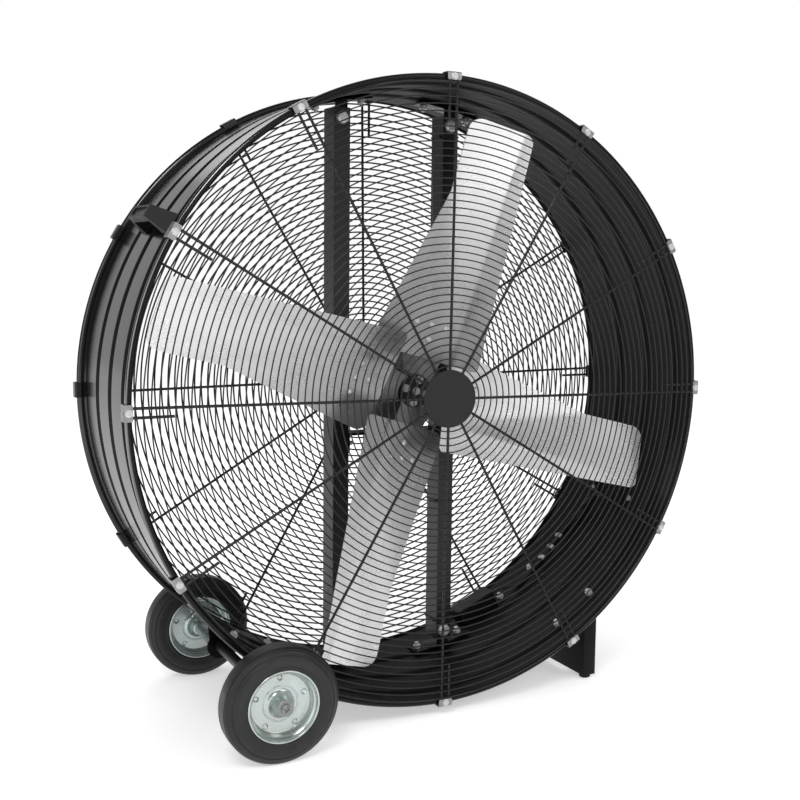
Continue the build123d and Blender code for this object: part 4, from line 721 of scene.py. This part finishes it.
def makeBlades():
    # a folded sheet: front face by the height formula, back face one sheet behind it
    u, v = bladeGrid()
    front = bladeHeight(u, v)
    back = front - blade["sheet"]
    loopU = np.concatenate([u, u[:, ::-1]], 1)
    loopV = np.concatenate([v, v[:, ::-1]], 1)
    loopZ = np.concatenate([front, back[:, ::-1]], 1)
    for k in (0, -1):
        middle = (front[k] + back[k]) / 2
        rowZ = np.concatenate([middle, middle[::-1]])[None]
        rowU, rowV = loopU[k][None], loopV[k][None]
        loopU = np.concatenate([rowU, loopU] if k == 0 else [loopU, rowU])
        loopV = np.concatenate([rowV, loopV] if k == 0 else [loopV, rowV])
        loopZ = np.concatenate([rowZ, loopZ] if k == 0 else [loopZ, rowZ])
    sheetMap = np.stack([loopU, loopV], -1).reshape(-1, 2)
    for index in range(blade["count"]):
        out, across, forwards = bladeFrame(index)
        points = loopU[..., None] * out + loopV[..., None] * across + loopZ[..., None] * forwards
        shifted = sheetMap + (0.0, blade["mapStep"] * index)
        addPiece(f"bladeSheet{index + 1}", [surface(raised(points), False)], "blade_aluminium", "rotor",
                 [f"blade_{index + 1}"], 34.0, ("blade", shifted))


rivet = dict(places=((128.0, -19.0), (128.0, 8.0), (128.0, 36.0), (100.0, 5.0)), radius=5.4, high=2.9,
             wall=0.16, sunk=0.05)


def dome(radius, high, wall):
    # an oval dome: radius cos t out, high sin t up, on a straight wall that is a share of its height
    t = np.linspace(0, pi / 2, 10)
    r = np.concatenate([[0.0, radius], radius * np.cos(t)])
    y = np.concatenate([[0.0, 0.0], -high * (wall + (1 - wall) * np.sin(t))])
    return revolve(np.stack([r, y], -1), 24)


def makeRivets():
    # snap heads stand square on the root panel of each blade: base + x side + z rise - y normal
    surfaces = []
    normal = np.array([-slopeOf("rootLean"), slopeOf("rootPitch"), 1.0])
    normal /= np.linalg.norm(normal)
    head = dome(rivet["radius"], rivet["high"], rivet["wall"])
    for index in range(blade["count"]):
        ways = bladeFrame(index)
        n = normal @ ways
        side = np.cross(n, (0.0, 0.0, 1.0))
        side /= np.linalg.norm(side)
        rise = np.cross(side, n)
        for u, v in rivet["places"]:
            base = np.array([u, v, bladeHeight(u, v) - rivet["sunk"]]) @ ways
            points = base + head[..., :1] * side + head[..., 2:] * rise - head[..., 1:2] * n
            surfaces.append(surface(raised(points), False))
    addPiece("bladeRivets", surfaces, "zinc", "rotor", ["blade_rivets"], 50.0)


hubBolt = dict(ring=22.0, face=-54.0, across=6.6, high=4.0, washer=7.6, washerHigh=1.0, washerEdge=(7.2, 0.8))


def hexHead(across, high):
    # a six-sided head, half across / cos of the angle from a flat, whose corners are turned down to a circle
    a = np.linspace(0, 2 * pi, 48, endpoint=False)
    hexagon = across / np.cos((a + pi / 6) % (pi / 3) - pi / 6)
    rows = [(0.0, 0.0), (1.0, 0.0), (1.0, -high * 0.8), (0.93, -high), (0.6, -high), (0.0, -high)]
    rings = [np.stack([hexagon * f * np.cos(a), 0 * a + y, hexagon * f * np.sin(a)], -1) for f, y in rows]
    rings[3] = np.stack([across * np.cos(a), 0 * a - high, across * np.sin(a)], -1)
    return np.stack(rings)


def makeHubBolts():
    # one hex head in the middle and one at the root of each arm, on a washer
    surfaces, spots = [], [(0.0, 0.0)]
    head = hexHead(hubBolt["across"], hubBolt["high"])
    wide, thick, (edge, wall) = hubBolt["washer"], hubBolt["washerHigh"], hubBolt["washerEdge"]
    washer = revolve(np.array([(0.0, 0.0), (wide, 0.0), (wide, -wall), (edge, -thick), (0.0, -thick)]), 32)
    for index in range(blade["count"]):
        out = hubBolt["ring"] * bladeFrame(index)[0]
        spots.append((out[0], out[2]))
    for x, z in spots:
        for points, start in ((washer, 0.0), (head, -thick)):
            surfaces.append(surface(raised(points + (x, hubBolt["face"] + start, z)), False))
    addPiece("hubBoltHeads", surfaces, "zinc", "rotor", ["hub_bolts"], 34.0, finish="plate_zinc")


wheel = dict(x=-338.0, z=100.0, y=239.0, half=25.0, seat=61.0, gap=0.02, bore=10.1, hubOut=28.0, web=4.0,
             webSlack=1.3, webReach=51.0, dimples=5, dimpleRing=44.0, dimple=4.6, dimpleDeep=2.6,
             dimpleSteep=2.6, lipIn=0.6, lipBack=1.8, lip=1.7, lipTurn=(150.0, -60.0))


def makeTyre(side, name):
    # solid rubber: flat tread with a fine edge, rounded shoulders, a step ring and a raised band on each
    # wall; each pair is a radius and how far in from half the tyre's width the wall stands there
    half, seat = wheel["half"], wheel["seat"] + wheel["gap"]
    wall = np.array([(seat, 6.4), (seat, 3.4), (seat + 1.6, 2.0), (seat + 3.4, 1.0), (seat + 4.6, 0.6),
                     (seat + 6.0, 0.8), (seat + 6.8, 1.7), (seat + 8.5, 1.6), (seat + 12.0, 0.7),
                     (seat + 17.0, 0.1), (seat + 22.0, 0.3), (86.0, 1.4), (86.7, 2.5), (88.0, 2.6),
                     (88.6, 2.0), (90.5, 2.7), (93.0, 4.1), (94.2, 5.0), (94.7, 6.2), (96.0, 6.3),
                     (97.6, 8.2), (98.6, 9.8), (98.8, 10.8), (99.7, 11.3), (100.0, 16.0)])
    wall[:, 1] = half - wall[:, 1]
    section = np.concatenate([wall, (wall * (1.0, -1.0))[::-1]])
    points = revolve(section, 128, (wheel["x"], wheel["z"]))
    points[..., 1] += side * wheel["y"]
    addPiece(name + "TyreRubber", [surface(points)], "tyre_rubber", name + "_wheel", [name + "_tyre"], 40.0)


def makeRim(side, name):
    # a pressed disc on each side of a tube hub: raised cup, ringed web with dimples, sloping wall, rolled
    # lip; each pair is a radius and a height, over the web's own height in overWeb; a dimple's depth falls
    # off by 1 - near^2, where near is how far from its middle as a share of its radius
    half, seat, web, bore, out = (wheel[key] for key in ("half", "seat", "web", "bore", "hubOut"))
    cup = [(bore, out), (13.2, out), (14.4, 27.2), (14.9, 25.6), (15.4, 22.0), (16.2, 17.0), (17.4, 12.8)]
    overWeb = [(19.2, 5.2), (21.4, 2.4), (24.0, 0.8), (26.6, 0.1), (28.6, 0.0), (29.4, 0.6), (30.6, 0.6),
               (31.4, 0.0), (34.0, 0.0), (38.0, 0.0), (39.0, 0.0), (40.4, 0.0), (41.6, 0.0), (43.0, 0.0),
               (44.4, 0.0), (46.0, 0.0), (47.6, 0.0), (49.0, 0.0), (50.2, 0.4), (51.2, 1.6), (51.8, 3.4),
               (52.4, 8.0), (53.2, 11.4), (54.6, 13.6), (56.2, 14.8), (57.4, 16.4), (58.0, 18.2)]
    lip = arc((seat - wheel["lipIn"], half - wheel["lipBack"]), wheel["lip"], *wheel["lipTurn"], 12)
    seatLine = [(seat, 21.0), (seat, 18.4), (seat, 9.0)]
    upper = np.concatenate([cup, np.array(overWeb) + (0.0, web), lip, seatLine])
    section = np.concatenate([upper, [(seat, 0.0)], (upper * (1.0, -1.0))[::-1], [(bore, 0.0)]])
    points = revolve(section, 200)
    angle = np.arctan2(points[..., 2], points[..., 0])
    r = np.hypot(points[..., 0], points[..., 2])
    turn = 2 * pi / wheel["dimples"]
    off = (angle - pi / 2 + turn / 2) % turn - turn / 2
    near = np.hypot(r * np.cos(off) - wheel["dimpleRing"], r * np.sin(off)) / wheel["dimple"]
    deep = wheel["dimpleDeep"] * np.clip((1 - near ** 2) * wheel["dimpleSteep"], 0, 1)
    onWeb = (np.abs(points[..., 1]) < web + wheel["webSlack"]) & (r < wheel["webReach"])
    points[..., 1] -= np.sign(points[..., 1]) * np.where(onWeb, deep, 0)
    points = points + (wheel["x"], side * wheel["y"], wheel["z"])
    addPiece(name + "RimDisc", [surface(points)], "rim_zinc", name + "_wheel", [name + "_wheel_rim"], 36.0)


axleEnd = dict(gap=0.05, washer=14.4, washerHigh=2.2, brokenEdge=0.5, screw=9.6, screwHigh=5.4, crossDeep=2.6)


def makeAxleEnds():
    # a turned washer with a broken edge and a large pan screw close each wheel's cup
    surfaces = []
    reach, high, edge = axleEnd["washer"], axleEnd["washerHigh"], axleEnd["brokenEdge"]
    base = wheel["y"] + wheel["hubOut"] + axleEnd["gap"]
    section = np.array([(0.0, 0.0), (reach, 0.0), (reach, -high + edge), (reach - edge, -high), (0.0, -high)])
    head = screwHead(axleEnd["crossDeep"], axleEnd["screw"], axleEnd["screwHigh"])
    for side in (-1, 1):
        for points, start in ((revolve(section, 72), 0.0), (head, high)):
            points = points * (1.0, -side, 1.0) + (wheel["x"], side * (base + start), wheel["z"])
            surfaces.append(surface(points, False))
    addPiece("axleEndScrews", surfaces, "zinc", "frame", ["axle_end_bolts"], 34.0, finish="plate_zinc")


# nodes that keep their shape: slot, body, bevel in millimetres, and a finish where it isn't the slot's own
softEdges = dict(
    left_post=("black_paint", "frame", 1.0, "post_paint"),
    right_post=("black_paint", "frame", 1.0, "post_paint"),
    post_brackets=("black_paint", "frame", 0.7), foot=("black_paint", "frame", 0.9),
    axle_brackets=("black_paint", "frame", 0.7), carry_handle=("moulded_black", "frame", 1.4),
    switch_box=("moulded_black", "frame", 0.8), switch_box_lid=("moulded_black", "frame", 0.4),
    speed_knob=("moulded_black", "knob", 0.7), capacitor_box=("moulded_black", "frame", 0.6),
    fan_hub=("galvanised", "rotor", 0.7), motor_rails=("black_paint", "frame", 0.8),
    motor_shell=("black_paint", "frame", 0.5), wheel_axle=("axle_steel", "frame", 0.3, "post_paint"),
)


room = dict(floorHalf=14.0, floor=0.8, glow=0.46, light=0.72, mirrorDim=0.08, behind=0.95, mirrorFrom=0.84,
            lampsAimAt=(0.0, 0.0, 0.55))
# bright panels that only a mirror sees: a way, the cosines where each begins and is full, and its strength
panels = (((0.35, -0.92, 0.15), 0.78, 0.97, 0.5), ((-0.9, -0.35, 0.25), 0.86, 0.93, 1.5))
# square lamps: name, place and width in metres, power in watts
lamps = (("keyLight", (-2.0, -2.6, 3.6), 1.3, 62.0), ("frontLight", (0.45, -4.2, 1.5), 1.4, 9.0),
         ("sideLight", (1.9, -3.0, 2.7), 1.5, 20.0), ("rearLight", (0.6, 3.2, 3.2), 2.4, 26.0))


def makeFloor():
    # a pale floor that glows a little for the eye, so that only the soft shadow under the fan shows
    half = room["floorHalf"]
    corners = [(-half, -half, 0), (half, -half, 0), (half, half, 0), (-half, half, 0)]
    mesh = bpy.data.meshes.new("floor")
    mesh.from_pydata(corners, [], [(0, 1, 2, 3)])
    floor = bpy.data.objects.new("floor", mesh)
    bpy.context.scene.collection.objects.link(floor)
    made = Finish("floorPaint", Roughness=0.9, Specular_IOR_Level=0.0)
    made.shader.inputs["Base Color"].default_value = tone(room["floor"])
    eye, mirrored = made.unlit()
    looked = made.node("Math", dict(operation="MAXIMUM"), {0: eye, 1: mirrored})
    glow = made.node("Emission", None, {"Color": (1.0, 1.0, 1.0, 1.0), "Strength": looked * room["glow"]})
    both = made.node("AddShader", None, {0: Sock(made, made.shader.outputs[0]), 1: glow})
    made.tree.links.new(both.socket, made.output.inputs["Surface"])
    mesh.materials.append(made.material)


def makeLight():
    # the room is white to the eye; a mirror sees it bright behind and at the panels, dim elsewhere; on the
    # pieces themselves an even light falls
    world = bpy.data.worlds.new("studio")
    world.use_nodes = True
    bpy.context.scene.world = world
    sky = Shading(world.node_tree)
    eye, mirrored = sky.unlit()
    way = sky.node("TexCoord", output="Generated")
    seen = sky.ramp(sky.part(way, "Y"), room["mirrorFrom"], 1.0, room["mirrorDim"], room["behind"])
    for aim, edge, full, strength in panels:
        near = sky.node("VectorMath", dict(operation="DOT_PRODUCT"), {0: way, 1: aim}, output="Value")
        seen = seen + sky.ramp(near, edge, full, 0.0, strength)
    falls = sky.node("Background", None, {"Strength": room["light"]})
    shown = sky.node("Background", None, {"Strength": seen})
    white = sky.node("Background", None, {"Strength": 1.0})
    for background in (falls, shown, white):
        background.socket.node.inputs["Color"].default_value = (1.0, 1.0, 1.0, 1.0)
    mixed = sky.node("MixShader", None, {0: mirrored, 1: falls, 2: shown})
    mixed = sky.node("MixShader", None, {0: eye, 1: mixed, 2: white})
    sky.node("OutputWorld", None, {"Surface": mixed})
    for name, place, size, power in lamps:
        data = bpy.data.lights.new(name, "AREA")
        data.energy = power
        data.size = size
        lamp = bpy.data.objects.new(name, data)
        aim = Vector(room["lampsAimAt"]) - Vector(place)
        lamp.rotation_euler = aim.to_track_quat("-Z", "Y").to_euler()
        lamp.location = place
        bpy.context.scene.collection.objects.link(lamp)


addCamera()
makeFloor()
makeLight()
makeDrum()
print("drum made")
for side, name in ((-1, "front"), (1, "rear")):
    makeGuard(side, name)
    makeCap(side, name)
    makeClamps(side, name)
    makeTyre(side, name)
    makeRim(side, name)
makeClampScrews()
makeAxleEnds()
print("guards, clamps and wheels made")
makeBlades()
makeRivets()
makeHubBolts()
print("blades made")
for node, how in softEdges.items():
    softened(node, *how)
print("soft-edged copies made:", len(softEdges))
# whatever no piece stands in for wears its own slot's finish
for name, node in nodes.items():
    if not node.hide_render:
        for place in node.material_slots:
            place.material = finishes[slots[name]]
print("record slots used:", sorted(set(slots.values())))
